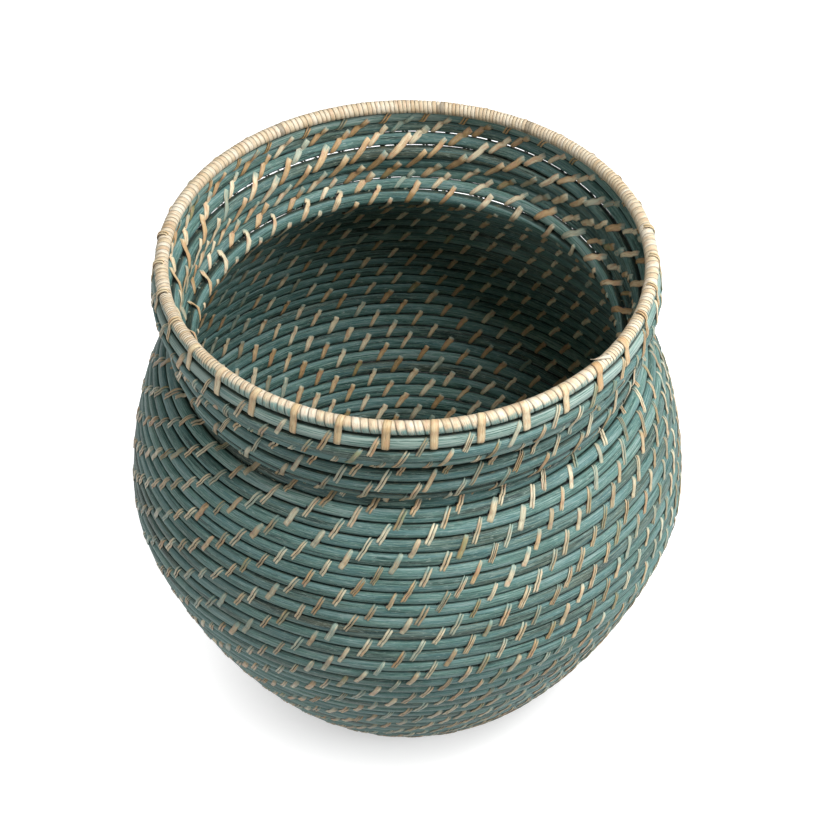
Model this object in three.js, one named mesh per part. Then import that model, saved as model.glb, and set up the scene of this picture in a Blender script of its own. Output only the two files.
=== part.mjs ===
// Coiled rattan jar basket: one stained rod winds from the middle of the base up to the collar,
// and a cane-wrapped hoop is lashed on top as the rim. Millimetres, +Z up, the base rests on z = 0.
// Angles round the basket run from 0 at the front (-Y) through 90 at the right (+X).

import * as THREE from 'three';

// Body of the basket
const bellyDiameter = 300; // widest outside diameter
const bellyHeight = 130; // height of the widest row
const baseDiameter = 158; // flat disc on the floor, to the row that turns up
const shoulderDiameter = 234; // last row of the belly, centre to centre
const shoulderHeight = 223.6; // height of that row's centre
const lowerFullness = 1.29; // 1 is a straight cone, 2 a quarter ellipse, below the widest row
const upperFullness = 1.73; // the same above it

// Foundation rod
const rodDiameter = 6.85; // across the corners of its six sides
const rowGap = 0.55; // least space between one row and the next
const longestRod = 3700; // usable length of one rattan rod
const spliceGap = 0.3; // between the ends of two rods
const eyeTurns = 0.7; // turns missing at the tight middle of the base

// Collar above the neck: direction from each row to the one above it, in degrees, where 0 points
// outwards and 90 straight up. It draws in to the neck, steps out, and goes in and out once more.
const collarDirections = [120, 25, 72, 97, 98, 48, 68, 98];

// Level rows: each turn lies level but for one stretch, where it climbs to the next row
const climbCentre = 144; // where round the basket the rows climb
const climbAngle = 108; // how far round the climb goes
const levellingRows = 30; // rows of the lower wall in which the even spiral turns level
const squeezeShare = 0.024; // how much closer the collar rows lie halfway up their climb
const thinnestEnd = 0.3; // where the last rod is cut off, as a share of its girth

// Rim
const rimRodDiameter = 5.2; // hoop inside the wrapping, across corners
const caneThickness = 0.75; // split cane, through the strip
const wrapClearance = 0.3; // between the hoop and its wrapping
const rimSeat = 0.8; // between the top row and the wrapping
const rimDirection = 104; // from the top row to the hoop
const wrapStarts = { rim_wrap_right: 54, rim_wrap_left: 180, rim_wrap_front: 288 };

// Lashings that tie the rim to the top row
const lashingCount = 35;
const lashingStart = -4.5; // angle of the first one
const lashingWidth = 4;
const lashingClearance = 0.3; // over the wrapping
const lashingTuck = 96; // how far over the rim its upper end is tucked in, from the outside
const lashingReach = 2.2; // how far its lower end passes the middle of the top row

// Facets
const stationsPerTurn = 20;
const rodSides = 6;
const wrapSides = 8;
const lashingChords = 3;

const rodRadius = rodDiameter / 2;
const rodHalfThickness = rodRadius * Math.cos(Math.PI / rodSides);
const degrees = Math.PI / 180;

const materials = {
  rod: new THREE.MeshStandardMaterial({ color: 0x4f7873, roughness: 0.62, metalness: 0 }),
  hoop: new THREE.MeshStandardMaterial({ color: 0x5c8079, roughness: 0.65, metalness: 0 }),
  wrap: new THREE.MeshStandardMaterial({ color: 0xe2c9a0, roughness: 0.5, metalness: 0 }),
  lashing: new THREE.MeshStandardMaterial({ color: 0xd2ab78, roughness: 0.5, metalness: 0 }),
};

const smooth = (x) => THREE.MathUtils.smoothstep(x, 0, 1);
const direction = (angle) => new THREE.Vector2(Math.cos(angle * degrees), Math.sin(angle * degrees));

// Middle line of the rods from the centre of the base to the shoulder, as radius and height.
class WallProfile extends THREE.Curve {
  constructor() {
    super();
    this.arcLengthDivisions = 3000;
    this.base = new THREE.Vector2(baseDiameter / 2, rodHalfThickness);
    this.belly = new THREE.Vector2(bellyDiameter / 2 - rodHalfThickness, bellyHeight);
    this.shoulder = new THREE.Vector2(shoulderDiameter / 2, shoulderHeight);
  }

  getPoint(t, target = new THREE.Vector2()) {
    const { base, belly, shoulder } = this;
    if (t < 1 / 3) {
      return target.set(base.x * 3 * t, base.y);
    }
    if (t < 2 / 3) {
      const turn = (3 * t - 1) * Math.PI / 2;
      const out = Math.sin(turn) ** (2 / lowerFullness);
      const up = 1 - Math.cos(turn) ** (2 / lowerFullness);
      return target.set(base.x + (belly.x - base.x) * out, base.y + (belly.y - base.y) * up);
    }
    const turn = (3 * t - 2) * Math.PI / 2;
    const out = Math.abs(Math.cos(turn)) ** (2 / upperFullness);
    const up = Math.sin(turn) ** (2 / upperFullness);
    return target.set(shoulder.x + (belly.x - shoulder.x) * out, belly.y + (shoulder.y - belly.y) * up);
  }
}

const profile = new WallProfile();
const profileLength = profile.getLength();
const wallRows = Math.floor(profileLength / (rodDiameter + rowGap));
const pitch = profileLength / wallRows;
const baseRows = baseDiameter / 2 / pitch;
const topRow = wallRows + collarDirections.length;
const climbShare = climbAngle / 360;

// Rows are counted from the centre of the base, so a point on the coil has a row number such as 12.25.
// A whole number is the level middle of a row and a half is the middle of the climb.
const angleOf = (row) => (climbCentre + 360 * (row + 0.5)) * degrees;

// How far a row number moves towards its level place, from 0 in the base to the full amount above.
function levelled(row) {
  const turn = row + 0.5 - Math.floor(row + 0.5);
  const half = climbShare / 2;
  let level = 0;
  if (turn < half) {
    level = smooth((turn + half) / climbShare) - 1;
  } else if (turn > 1 - half) {
    level = smooth((turn - 1 + half) / climbShare);
  }
  const share = THREE.MathUtils.clamp((row - baseRows) / levellingRows, 0, 1);
  return row + share * (level - (turn - 0.5));
}

// The step from the row below to a collar row, at a levelled row number.
const lastWallStep = profile.getPointAt(1).sub(profile.getPointAt(1 - 1 / wallRows));
const collarSteps = [lastWallStep, ...collarDirections.map((angle) => direction(angle).multiplyScalar(pitch))];

function collarStep(level) {
  const index = Math.min(Math.floor(level - wallRows), collarSteps.length - 2);
  const from = collarSteps[index];
  const to = collarSteps[index + 1];
  const share = Math.min(level - wallRows - index, 1);
  const angle = THREE.MathUtils.lerp(from.angle(), to.angle(), share);
  const squeeze = 4 * share * (1 - share) * squeezeShare;
  const length = THREE.MathUtils.lerp(from.length(), to.length(), share) * (1 - squeeze);
  return new THREE.Vector2(Math.cos(angle), Math.sin(angle)).multiplyScalar(length);
}

// Radius and height of the rod's middle at a row number.
function rowPoint(row) {
  const level = levelled(Math.max(row, 0));
  if (level <= wallRows) {
    return profile.getPointAt(Math.max(level, 0) / wallRows);
  }
  return rowPoint(row - 1).add(collarStep(level));
}

// Middle line and outer radius of the wrapped rim.
const boreApothem = rimRodDiameter / 2 + wrapClearance;
const rimRadius = (boreApothem + caneThickness) / Math.cos(Math.PI / wrapSides);
const rimStep = rodRadius + rimSeat + rimRadius;
const rimPoint = rowPoint(topRow).add(direction(rimDirection).multiplyScalar(rimStep));

// The last rod thins out where the row below climbs to the rim.
function taperedPoint(row) {
  const below = rowPoint(row - 1);
  const toRim = rimPoint.clone().sub(below);
  const room = toRim.length() - rodRadius - rimRadius - rowGap - rimSeat;
  const girth = Math.min(room / rodDiameter, 1);
  const point = below.add(toRim.setLength(rodRadius * (1 + girth) + rowGap));
  return { point, girth };
}

// Direction of the wall at a row, from the row below to the row above, level in the base.
function wallDirection(row) {
  const here = rowPoint(row);
  const below = rowPoint(row - 1);
  const above = row + 1 > topRow ? rimPoint : rowPoint(row + 1);
  const share = THREE.MathUtils.clamp((row - baseRows - 1) / 2, 0, 1);
  return here.clone().sub(below).add(above.clone().sub(here).multiplyScalar(share)).normalize();
}

// Section plane at one angle round the basket: middle, outward normal and direction along the wall.
function section(point, wall, angle, girth = 1) {
  const out = new THREE.Vector3(Math.sin(angle), -Math.cos(angle), 0);
  const up = new THREE.Vector3(0, 0, 1);
  return {
    girth,
    middle: out.clone().multiplyScalar(point.x).addScaledVector(up, point.y),
    normal: out.clone().multiplyScalar(wall.y * girth).addScaledVector(up, -wall.x * girth),
    down: out.clone().multiplyScalar(-wall.x * girth).addScaledVector(up, -wall.y * girth),
  };
}

function coilSection(station) {
  const row = station / stationsPerTurn - 0.5;
  const taperStart = topRow + 0.5 - climbShare / 2;
  const { point, girth } = row > taperStart ? taperedPoint(row) : { point: rowPoint(row), girth: 1 };
  return section(point, wallDirection(Math.min(row, topRow)), angleOf(row), girth);
}

// Path through section planes. Its frames stay in those planes, so neighbouring rows share their facets.
class SectionPath extends THREE.Curve {
  constructor(sections) {
    super();
    this.sections = sections.map((one) => ({ ...one, middle: one.middle.clone() }));
    this.trim(this.sections[0], this.sections[1]);
    this.trim(this.sections.at(-1), this.sections.at(-2));
  }

  trim(end, inner) {
    const run = inner.middle.clone().sub(end.middle);
    end.middle.addScaledVector(run, spliceGap / 2 / run.length());
  }

  get steps() {
    return this.sections.length - 1;
  }

  getSpacedPoints() {
    return this.sections.map((one) => one.middle);
  }

  computeFrenetFrames() {
    return {
      tangents: this.sections.map((one) => one.normal.clone().cross(one.down).normalize()),
      normals: this.sections.map((one) => one.normal),
      binormals: this.sections.map((one) => one.down),
    };
  }
}

function polygon(Outline, radius, sides, start) {
  const corners = Array.from({ length: sides }, (_, i) => {
    const angle = start + (2 * Math.PI * i) / sides;
    return new THREE.Vector2(radius * Math.cos(angle), radius * Math.sin(angle));
  });
  return new Outline(corners);
}

function sweep(outline, sections) {
  const path = new SectionPath(sections);
  return new THREE.ExtrudeGeometry(outline, { extrudePath: path, steps: path.steps, bevelEnabled: false });
}

const basket = new THREE.Group();

function addPiece(name, geometry, material) {
  const mesh = new THREE.Mesh(geometry, material.clone());
  mesh.name = name;
  basket.add(mesh);
}

// The whole coil, one section plane a station, until the last rod is thin enough to end.
const coil = [];
const firstStation = Math.round((eyeTurns + 0.5) * stationsPerTurn);
const endRow = topRow + 0.5 + climbShare / 2;
for (let station = firstStation; station / stationsPerTurn - 0.5 <= endRow; station += 1) {
  const plane = coilSection(station);
  if (plane.girth < thinnestEnd) {
    break;
  }
  coil.push(plane);
}

// Points round a rod's outline in its section plane, corners and places between them.
const rodOutline = polygon(THREE.Shape, rodRadius, rodSides, Math.PI / 2);

function outlinePoints({ middle, normal, down }) {
  return rodOutline.getSpacedPoints(4 * rodSides).map((corner) => middle.clone()
    .addScaledVector(normal, corner.x).addScaledVector(down, corner.y));
}

// Least space between a stretch of the coil and the turn above each of its sections.
function leastGap(from, to) {
  let least = Infinity;
  for (let index = from; index + stationsPerTurn <= to; index += 1) {
    const above = outlinePoints(coil[index + stationsPerTurn]);
    for (const point of outlinePoints(coil[index])) {
      least = Math.min(least, ...above.map((other) => other.distanceTo(point)));
    }
  }
  return least;
}

// Splices: the base disc is one rod, and the wall shares the rest in equal lengths.
const baseEnd = Math.ceil((baseRows + 0.5) * stationsPerTurn) - firstStation;
const runs = coil.map((plane, index) => (index > baseEnd ? plane.middle.distanceTo(coil[index - 1].middle) : 0));
const wallLength = runs.reduce((sum, run) => sum + run, 0);
const wallRods = Math.ceil(wallLength / longestRod);
const splices = [0, baseEnd];
let travelled = 0;
for (const [index, run] of runs.entries()) {
  travelled += run;
  if (travelled >= ((splices.length - 1) * wallLength) / wallRods && index < coil.length - 1) {
    splices.push(index);
  }
}
splices.push(coil.length - 1);

for (let index = 0; index + 1 < splices.length; index += 1) {
  const name = index === 0 ? 'base_rod' : `wall_rod_${String(index).padStart(2, '0')}`;
  const stretch = coil.slice(splices[index], splices[index + 1] + 1);
  addPiece(name, sweep(rodOutline, stretch), materials.rod);
  console.log(`${name}: least gap to itself ${leastGap(splices[index], splices[index + 1]).toFixed(2)} mm`);
}
console.log(`whole coil: ${wallRows} rows and ${collarDirections.length} in the collar,`,
  `pitch ${pitch.toFixed(2)} mm, least gap ${leastGap(0, coil.length - 1).toFixed(2)} mm`);

// Rim hoop: a closed ring with its facets in step with the rows below.
const hoopCorners = polygon(THREE.Shape, rimRodDiameter / 2, rodSides, Math.PI / 2).getPoints();
const hoopOutline = [...hoopCorners, hoopCorners[0]].map((corner) => corner.clone().add(rimPoint));
const hoop = new THREE.LatheGeometry(hoopOutline, stationsPerTurn);
hoop.rotateX(Math.PI / 2);
addPiece('rim_hoop', hoop, materials.hoop);

// Cane wrapping in lengths that meet end to end, each a sleeve along the hoop.
const sleeve = polygon(THREE.Shape, rimRadius, wrapSides, Math.PI / wrapSides);
sleeve.holes.push(polygon(THREE.Path, boreApothem / Math.cos(Math.PI / wrapSides), wrapSides, Math.PI / wrapSides));
const stationAngle = 360 / stationsPerTurn;
const wraps = Object.entries(wrapStarts).map(([name, start]) => ({ name, from: Math.round(start / stationAngle) }));
wraps.forEach(({ name, from }, index) => {
  const next = wraps[(index + 1) % wraps.length].from;
  const to = next > from ? next : next + stationsPerTurn;
  const planes = Array.from({ length: to - from + 1 }, (_, i) => section(
    rimPoint, new THREE.Vector2(0, 1), (from + i) * stationAngle * degrees));
  addPiece(name, sweep(sleeve, planes), materials.wrap);
});

// Lashing: a strip of cane from the crown of the rim down its outside, past the middle of the top row.
const tuck = lashingTuck * degrees;
const innerArc = (rimRadius + lashingClearance) / Math.cos(tuck / 2 / lashingChords);
const outerArc = innerArc + caneThickness;
const leg = rimStep + lashingReach;
const strap = new THREE.Shape();
strap.moveTo(outerArc * Math.cos(tuck), outerArc * Math.sin(tuck));
strap.absarc(0, 0, outerArc, tuck, 0, true);
strap.lineTo(outerArc, -leg);
strap.lineTo(innerArc, -leg);
strap.absarc(0, 0, innerArc, 0, tuck, false);

// The topmost rod is the last turn of the coil. This is its middle at an angle round the basket.
const lastTurn = coil.slice(-stationsPerTurn - 1).map((plane) => plane.middle);
const lastTurnStart = Math.atan2(lastTurn[0].x, -lastTurn[0].y) / degrees;

function topRodAt(angle) {
  const place = THREE.MathUtils.euclideanModulo((angle - lastTurnStart) / stationAngle, stationsPerTurn);
  const from = Math.floor(place);
  return lastTurn[from].clone().lerp(lastTurn[from + 1], place - from);
}

// Each lashing is square to the facet of the rim that it crosses, and hangs towards the topmost rod.
for (let index = 0; index < lashingCount; index += 1) {
  const angle = lashingStart + (360 * index) / lashingCount;
  const facet = (Math.floor(angle / stationAngle) + 0.5) * stationAngle;
  const along = (angle - facet) * degrees;
  const reach = rimPoint.x * Math.cos((stationAngle / 2) * degrees);
  const rod = topRodAt(angle);
  const rodReach = rod.x * Math.sin(facet * degrees) - rod.y * Math.cos(facet * degrees);
  const strip = new THREE.ExtrudeGeometry(strap, {
    depth: lashingWidth, curveSegments: lashingChords, bevelEnabled: false,
  });
  strip.translate(0, 0, -lashingWidth / 2);
  strip.rotateZ(Math.atan2(rodReach - reach, rimPoint.y - rod.z));
  strip.rotateX(Math.PI / 2);
  strip.translate(reach, reach * Math.tan(along), rimPoint.y);
  strip.rotateZ((facet - 90) * degrees);
  addPiece(`rim_lashing_${String(index + 1).padStart(2, '0')}`, strip, materials.lashing);
}

export default basket;
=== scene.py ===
"""Coiled rattan jar basket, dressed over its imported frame.

The rods, the cane stitches, the wrapped rim and its lashings are built here. The sizes in the
classes are millimetres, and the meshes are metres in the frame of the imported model, +Z up.
Angles round the basket run from 0 at the front (-Y) through 90 at the right (+X). A place on the
coil is a row number, counted from the centre of the base, such as 12.25. Angles round a rod run
from 0 on its outer side through 90 on its upper side.
"""

import logging
import math
from dataclasses import dataclass, field
from enum import Enum
from functools import cached_property

import bpy
import numpy as np
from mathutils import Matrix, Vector


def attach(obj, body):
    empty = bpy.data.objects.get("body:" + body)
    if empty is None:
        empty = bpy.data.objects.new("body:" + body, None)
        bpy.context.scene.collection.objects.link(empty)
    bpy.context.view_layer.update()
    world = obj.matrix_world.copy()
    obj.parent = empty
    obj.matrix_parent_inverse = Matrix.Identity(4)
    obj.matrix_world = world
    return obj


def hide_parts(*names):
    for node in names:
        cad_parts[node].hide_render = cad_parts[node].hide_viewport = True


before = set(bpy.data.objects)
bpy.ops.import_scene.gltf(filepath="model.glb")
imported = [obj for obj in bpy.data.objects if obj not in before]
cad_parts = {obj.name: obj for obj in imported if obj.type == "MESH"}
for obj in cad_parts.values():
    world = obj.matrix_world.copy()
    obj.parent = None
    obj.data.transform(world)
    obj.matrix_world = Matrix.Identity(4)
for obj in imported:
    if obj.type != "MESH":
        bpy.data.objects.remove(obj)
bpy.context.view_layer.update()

LOG = logging.getLogger("jar_basket")
MM = 0.001
BODY = "root"
FULL_TURN = 2.0 * math.pi
RISE = np.array([0.0, 0.0, 1.0])


# ---------------------------------------------------------------------------------------------
# Small helpers
# ---------------------------------------------------------------------------------------------


def smooth(value: np.ndarray) -> np.ndarray:
    """Ease from 0 to 1, clamped at both ends."""
    share = np.clip(value, 0.0, 1.0)
    return share * share * (3.0 - 2.0 * share)


def ramp(value: np.ndarray, low: float | np.ndarray, high: float | np.ndarray) -> np.ndarray:
    """Ease from 0 where the value is low to 1 where it is high, which may be the smaller of the two."""
    return smooth((value - low) / (high - low))


def blend(low: float, high: float, share: np.ndarray) -> np.ndarray:
    """Value that goes from one to another by a share."""
    return low + (high - low) * share


def unit(vectors: np.ndarray) -> np.ndarray:
    """Vectors of length one along the last axis."""
    return vectors / np.maximum(np.linalg.norm(vectors, axis=-1, keepdims=True), 1e-9)


def running_sum(steps: np.ndarray) -> np.ndarray:
    """Sums of steps along the last axis, from 0."""
    return np.concatenate([np.zeros((*steps.shape[:-1], 1)), np.cumsum(steps, -1)], -1)


def outwards(angle: np.ndarray) -> np.ndarray:
    """Level directions away from the middle of the basket, at radians round it."""
    return np.stack([np.sin(angle), -np.cos(angle), np.zeros_like(angle)], -1)


def drift(rng: np.random.Generator, along: np.ndarray, step: float) -> np.ndarray:
    """Slow random change along a length, such as the girth of a natural rod.

    Args:
        rng: Source of the random values.
        along: Places along the length, rising from 0.
        step: Distance over which the value changes.

    Returns:
        One value for each place, mostly between -1 and 1.
    """
    knots = rng.normal(0.0, 0.5, int(along.max() / step) + 3)
    place = along / step
    index = np.floor(place).astype(int)
    return blend(knots[index], knots[index + 1], smooth(place - index))


def spline_weights(controls: int, rings: int) -> np.ndarray:
    """Shares of the control places that give each ring of a smooth path.

    Args:
        controls: Number of control places, which the path goes through.
        rings: Number of rings.

    Returns:
        One row of shares for each ring.
    """
    weights = np.zeros((rings, controls))
    for ring, place in enumerate(np.linspace(0.0, controls - 1.0, rings)):
        index = min(int(place), controls - 2)
        t = place - index
        basis = (
            -0.5 * t + t * t - 0.5 * t**3,
            1.0 - 2.5 * t * t + 1.5 * t**3,
            0.5 * t + 2.0 * t * t - 1.5 * t**3,
            -0.5 * t * t + 0.5 * t**3,
        )
        for offset, share in zip((-1, 0, 1, 2), basis):
            weights[ring, min(max(index + offset, 0), controls - 1)] += share
    return weights


def linear(code: str) -> tuple[float, float, float, float]:
    """Scene colour of a paint.

    Args:
        code: Hexadecimal paint code.

    Returns:
        Red, green, blue and alpha, as the renderer counts light.
    """
    parts = [int(code[i : i + 2], 16) / 255.0 for i in (1, 3, 5)]
    light = [part / 12.92 if part <= 0.04045 else ((part + 0.055) / 1.055) ** 2.4 for part in parts]
    return (light[0], light[1], light[2], 1.0)


def place_piece(piece: bpy.types.Object, material: bpy.types.Material, nodes: list[str]) -> None:
    """Gives a piece its finish, its body and the nodes that it stands for.

    Args:
        piece: The piece's object.
        material: Its finish.
        nodes: Nodes of the frame that it replaces.
    """
    piece.data.materials.append(material)
    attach(piece, BODY)
    if nodes:
        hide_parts(*nodes)
    LOG.info("%s: %d faces, for %s", piece.name, len(piece.data.polygons), ", ".join(nodes) or "itself")


# ---------------------------------------------------------------------------------------------
# Materials
# ---------------------------------------------------------------------------------------------


class Signal:
    """A number that runs through a material. Python operators on it add the sums to the nodes."""

    def __init__(self, graph: "Graph", socket: bpy.types.NodeSocket) -> None:
        """Wraps a socket of a graph."""
        self.graph = graph
        self.socket = socket

    def _sum(self, operation: str, first: object, second: object) -> "Signal":
        """Result of one operation on two values."""
        node = self.graph.node("ShaderNodeMath", {"operation": operation}, {0: first, 1: second})
        return Signal(self.graph, node.outputs[0])

    def __add__(self, other: object) -> "Signal":
        """Sum of two values."""
        return self._sum("ADD", self, other)

    def __radd__(self, other: object) -> "Signal":
        """Sum with a plain number on the left."""
        return self._sum("ADD", other, self)

    def __sub__(self, other: object) -> "Signal":
        """Difference of two values."""
        return self._sum("SUBTRACT", self, other)

    def __rsub__(self, other: object) -> "Signal":
        """Difference from a plain number."""
        return self._sum("SUBTRACT", other, self)

    def __mul__(self, other: object) -> "Signal":
        """Product of two values."""
        return self._sum("MULTIPLY", self, other)

    def __rmul__(self, other: object) -> "Signal":
        """Product with a plain number on the left."""
        return self._sum("MULTIPLY", other, self)

    def about_half(self, share: float) -> "Signal":
        """Share of what the value lies over or under a half."""
        return (self - 0.5) * share

    def ramp(self, low: float, high: float) -> "Signal":
        """Eases from 0 where the value is low to 1 where it is high.

        Args:
            low: Value that gives 0.
            high: Value that gives 1. It may be the smaller of the two.

        Returns:
            The eased value.
        """
        node = self.graph.node(
            "ShaderNodeMapRange",
            {"interpolation_type": "SMOOTHSTEP", "clamp": True},
            {"Value": self, "From Min": low, "From Max": high, "To Min": 0.0, "To Max": 1.0},
        )
        return Signal(self.graph, node.outputs["Result"])


class Grain(Enum):
    """Marks along the fibres: their length and width in millimetres, and their detail."""

    STREAK = (26.0, 0.5, 4.0)
    BROAD = (55.0, 2.8, 2.0)
    HAIR = (9.0, 0.2, 3.0)
    SPECK = (4.5, 0.32, 2.0)
    FIBRE = (8.0, 0.32, 3.0)
    PATCH = (6.0, 2.2, 2.0)
    SPLIT = (7.0, 0.2, 2.0)
    HOOP = (24.0, 0.5, 4.0)


class Graph:
    """The nodes of one material."""

    def __init__(self, name: str) -> None:
        """Starts a material with an output."""
        self.material = bpy.data.materials.new(name)
        self.material.use_nodes = True
        self.tree = self.material.node_tree
        self.tree.nodes.clear()
        self.output = self.node("ShaderNodeOutputMaterial", {}, {})

    def node(self, kind: str, settings: dict, inputs: dict) -> bpy.types.Node:
        """Adds one node.

        Args:
            kind: Type of the node.
            settings: Its own properties, set before its sockets. "stops" are the stops of a ramp.
            inputs: A value, signal or socket for each input, by name or number.

        Returns:
            The node.
        """
        node = self.tree.nodes.new(kind)
        for key, value in settings.items():
            if key == "stops":
                self._set_stops(node.color_ramp, value)
            else:
                setattr(node, key, value)
        for key, value in inputs.items():
            socket = node.inputs[key]
            source = value.socket if isinstance(value, Signal) else value
            if isinstance(source, bpy.types.NodeSocket):
                self.tree.links.new(source, socket)
            else:
                socket.default_value = source
        return node

    @staticmethod
    def _set_stops(colours: bpy.types.ColorRamp, stops: list) -> None:
        """Gives a colour ramp its stops.

        Args:
            colours: The colour ramp.
            stops: A place and a paint code each.
        """
        while len(colours.elements) < len(stops):
            colours.elements.new(1.0)
        for element, (place, code) in zip(colours.elements, stops):
            element.position = place
            element.color = linear(code)

    @cached_property
    def _fibres(self) -> bpy.types.NodeSocket:
        """Place on a strand: millimetres along it and round it."""
        return self.node("ShaderNodeUVMap", {"uv_map": "Fibre"}, {}).outputs["UV"]

    def tone(self) -> tuple[Signal, Signal, Signal, Signal]:
        """The four values painted on a mesh."""
        paint = self.node("ShaderNodeAttribute", {"attribute_name": "Tone"}, {})
        parts = self.node("ShaderNodeSeparateColor", {}, {"Color": paint.outputs["Color"]})
        signals = [Signal(self, parts.outputs[index]) for index in range(3)]
        return (*signals, Signal(self, paint.outputs["Alpha"]))

    def noise(self, grain: Grain) -> Signal:
        """Random marks along the fibres.

        Args:
            grain: Which marks.

        Returns:
            Values about 0.5.
        """
        length, width, detail = grain.value
        scaled = self.node(
            "ShaderNodeVectorMath",
            {"operation": "MULTIPLY"},
            {0: self._fibres, 1: (1.0 / length, 1.0 / width, 1.0)},
        )
        node = self.node(
            "ShaderNodeTexNoise",
            {"noise_dimensions": "2D"},
            {"Vector": scaled.outputs[0], "Scale": 1.0, "Detail": detail, "Roughness": 0.55},
        )
        return Signal(self, node.outputs[0])

    def mix(self, share: object, under: object, over: object) -> bpy.types.NodeSocket:
        """Colour that goes from one to another by a share."""
        inputs = {0: share, 6: under, 7: over}
        return self.node("ShaderNodeMix", {"data_type": "RGBA", "clamp_factor": True}, inputs).outputs[2]

    def painted(self, value: Signal, stops: list, layers: list) -> bpy.types.NodeSocket:
        """Colour of a material.

        Args:
            value: Picks the first colour from the stops.
            stops: A place and a paint code each.
            layers: A share and a paint code each, laid over it in this order.

        Returns:
            The colour's socket.
        """
        colour = self.node("ShaderNodeValToRGB", {"stops": stops}, {"Fac": value}).outputs["Color"]
        for share, code in layers:
            colour = self.mix(share, colour, linear(code))
        return colour

    def bump(self, height: Signal, depth: float, strength: float) -> bpy.types.NodeSocket:
        """Normal of a relief in which a height of 1 stands for a depth in millimetres."""
        node = self.node("ShaderNodeBump", {}, {"Strength": strength, "Distance": depth * MM, "Height": height})
        return node.outputs["Normal"]

    def surface(self, inputs: dict) -> bpy.types.Material:
        """Closes the material with a shader.

        Args:
            inputs: The shader's values and signals.

        Returns:
            The material.
        """
        shader = self.node("ShaderNodeBsdfPrincipled", {}, inputs)
        self.tree.links.new(shader.outputs[0], self.output.inputs["Surface"])
        return self.material


@dataclass(frozen=True)
class StainedRattan:
    """Green-blue stain on a rattan rod, with soft streaks along the fibres, painted shade in the creases and a
    painted sheen on the top row.
    """

    deep: str = "#1d3532"
    stain: str = "#446b64"
    thin: str = "#6a8f85"
    pale: str = "#b3c4b9"
    blue: str = "#4b7378"
    # Painted shade in the creases where the rows meet.
    crease: str = "#18231f"
    bare: str = "#7a7352"
    roughness: float = 0.56

    def material(self) -> bpy.types.Material:
        """Builds the material. The painted values are chance, painted crease shade, patch, and wear with a
        painted sheen.
        """
        graph = Graph("stained_rattan")
        chance, crease, patch, wear_and_sheen = graph.tone()
        streak, broad = graph.noise(Grain.STREAK), graph.noise(Grain.BROAD)
        hair, speck = graph.noise(Grain.HAIR), graph.noise(Grain.SPECK)
        level = 0.5 + streak.about_half(0.8) + broad.about_half(0.75)
        level = level + patch.about_half(0.36) + chance.about_half(0.06)
        stops = [(0.25, self.deep), (0.47, self.stain), (0.66, self.thin), (0.86, self.pale)]
        layers = [
            (broad.ramp(0.42, 0.62) * 0.55, self.blue),
            (patch.ramp(0.55, 0.1) * streak.ramp(0.4, 0.6) * 0.32, self.bare),
            (hair.ramp(0.58, 0.72) * 0.38, self.pale),
            (hair.ramp(0.44, 0.3) * 0.6, self.deep),
            (speck.ramp(0.62, 0.74) * 0.5, self.pale),
            (speck.ramp(0.36, 0.26) * 0.5, self.deep),
            # Worn paint with white streaks on the top row, and a painted sheen that is strongest at the front.
            (wear_and_sheen * streak.ramp(0.34, 0.66), self.pale),
            # Painted shade darkens the creases, with bare fibres showing in them.
            (crease * 0.85, self.crease),
            (crease * speck.ramp(0.56, 0.7) * 0.6, self.bare),
        ]
        return graph.surface({
            "Base Color": graph.painted(level, stops, layers),
            "Roughness": self.roughness + streak.about_half(0.3),
            "Specular IOR Level": 0.35,
            "Normal": graph.bump(streak * 0.6 + hair * 0.4, depth=0.3, strength=0.75),
        })


@dataclass(frozen=True)
class SplitCane:
    """Split cane: cream to tan, with fine dark splits, stained where the brush caught it, and with painted shade
    on its edges and ends.
    """

    name: str
    pale: str = "#e6d9b8"
    tan: str = "#d0b184"
    brown: str = "#ad8a5d"
    olive: str = "#8f9468"
    blush: str = "#d3a386"
    stain: str = "#6f9b95"
    # Dark of the fine splits, and of the painted shade on edges and ends.
    edge: str = "#33281a"
    # Near black of the painted shade beside the stitches.
    hollow_shade: str = "#0b0f0e"
    variety: float = 0.85
    roughness: float = 0.46

    def material(self) -> bpy.types.Material:
        """Builds the material. The painted values are chance, painted shade, stain, and near-black painted shade
        beside the stitches.
        """
        graph = Graph(self.name)
        chance, shade, stain, hollow_shade = graph.tone()
        fibre, patch, split = (graph.noise(grain) for grain in (Grain.FIBRE, Grain.PATCH, Grain.SPLIT))
        level = 0.5 + chance.about_half(self.variety) + patch.about_half(0.5) + fibre.about_half(0.35)
        stops = [(0.2, self.pale), (0.45, self.tan), (0.68, self.brown), (0.9, self.olive)]
        layers = [
            (patch.ramp(0.52, 0.66) * 0.5, self.blush),
            (fibre.ramp(0.58, 0.74) * 0.45, self.pale),
            (split.ramp(0.4, 0.3) * 0.6, self.edge),
            (stain * fibre.ramp(0.25, 0.55), self.stain),
            # Painted shade: darker edges and ends of the strips, and the hoop's inner side; the rim's seams are
            # darker too.
            (shade, self.edge),
            # Near-black painted shade in the creases beside the stitches.
            (hollow_shade, self.hollow_shade),
        ]
        return graph.surface({
            "Base Color": graph.painted(level, stops, layers),
            "Roughness": self.roughness + fibre.about_half(0.3),
            "Specular IOR Level": 0.4,
            "Normal": graph.bump(fibre * 0.6 + split * 0.4, depth=0.16, strength=0.6),
        })


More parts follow.
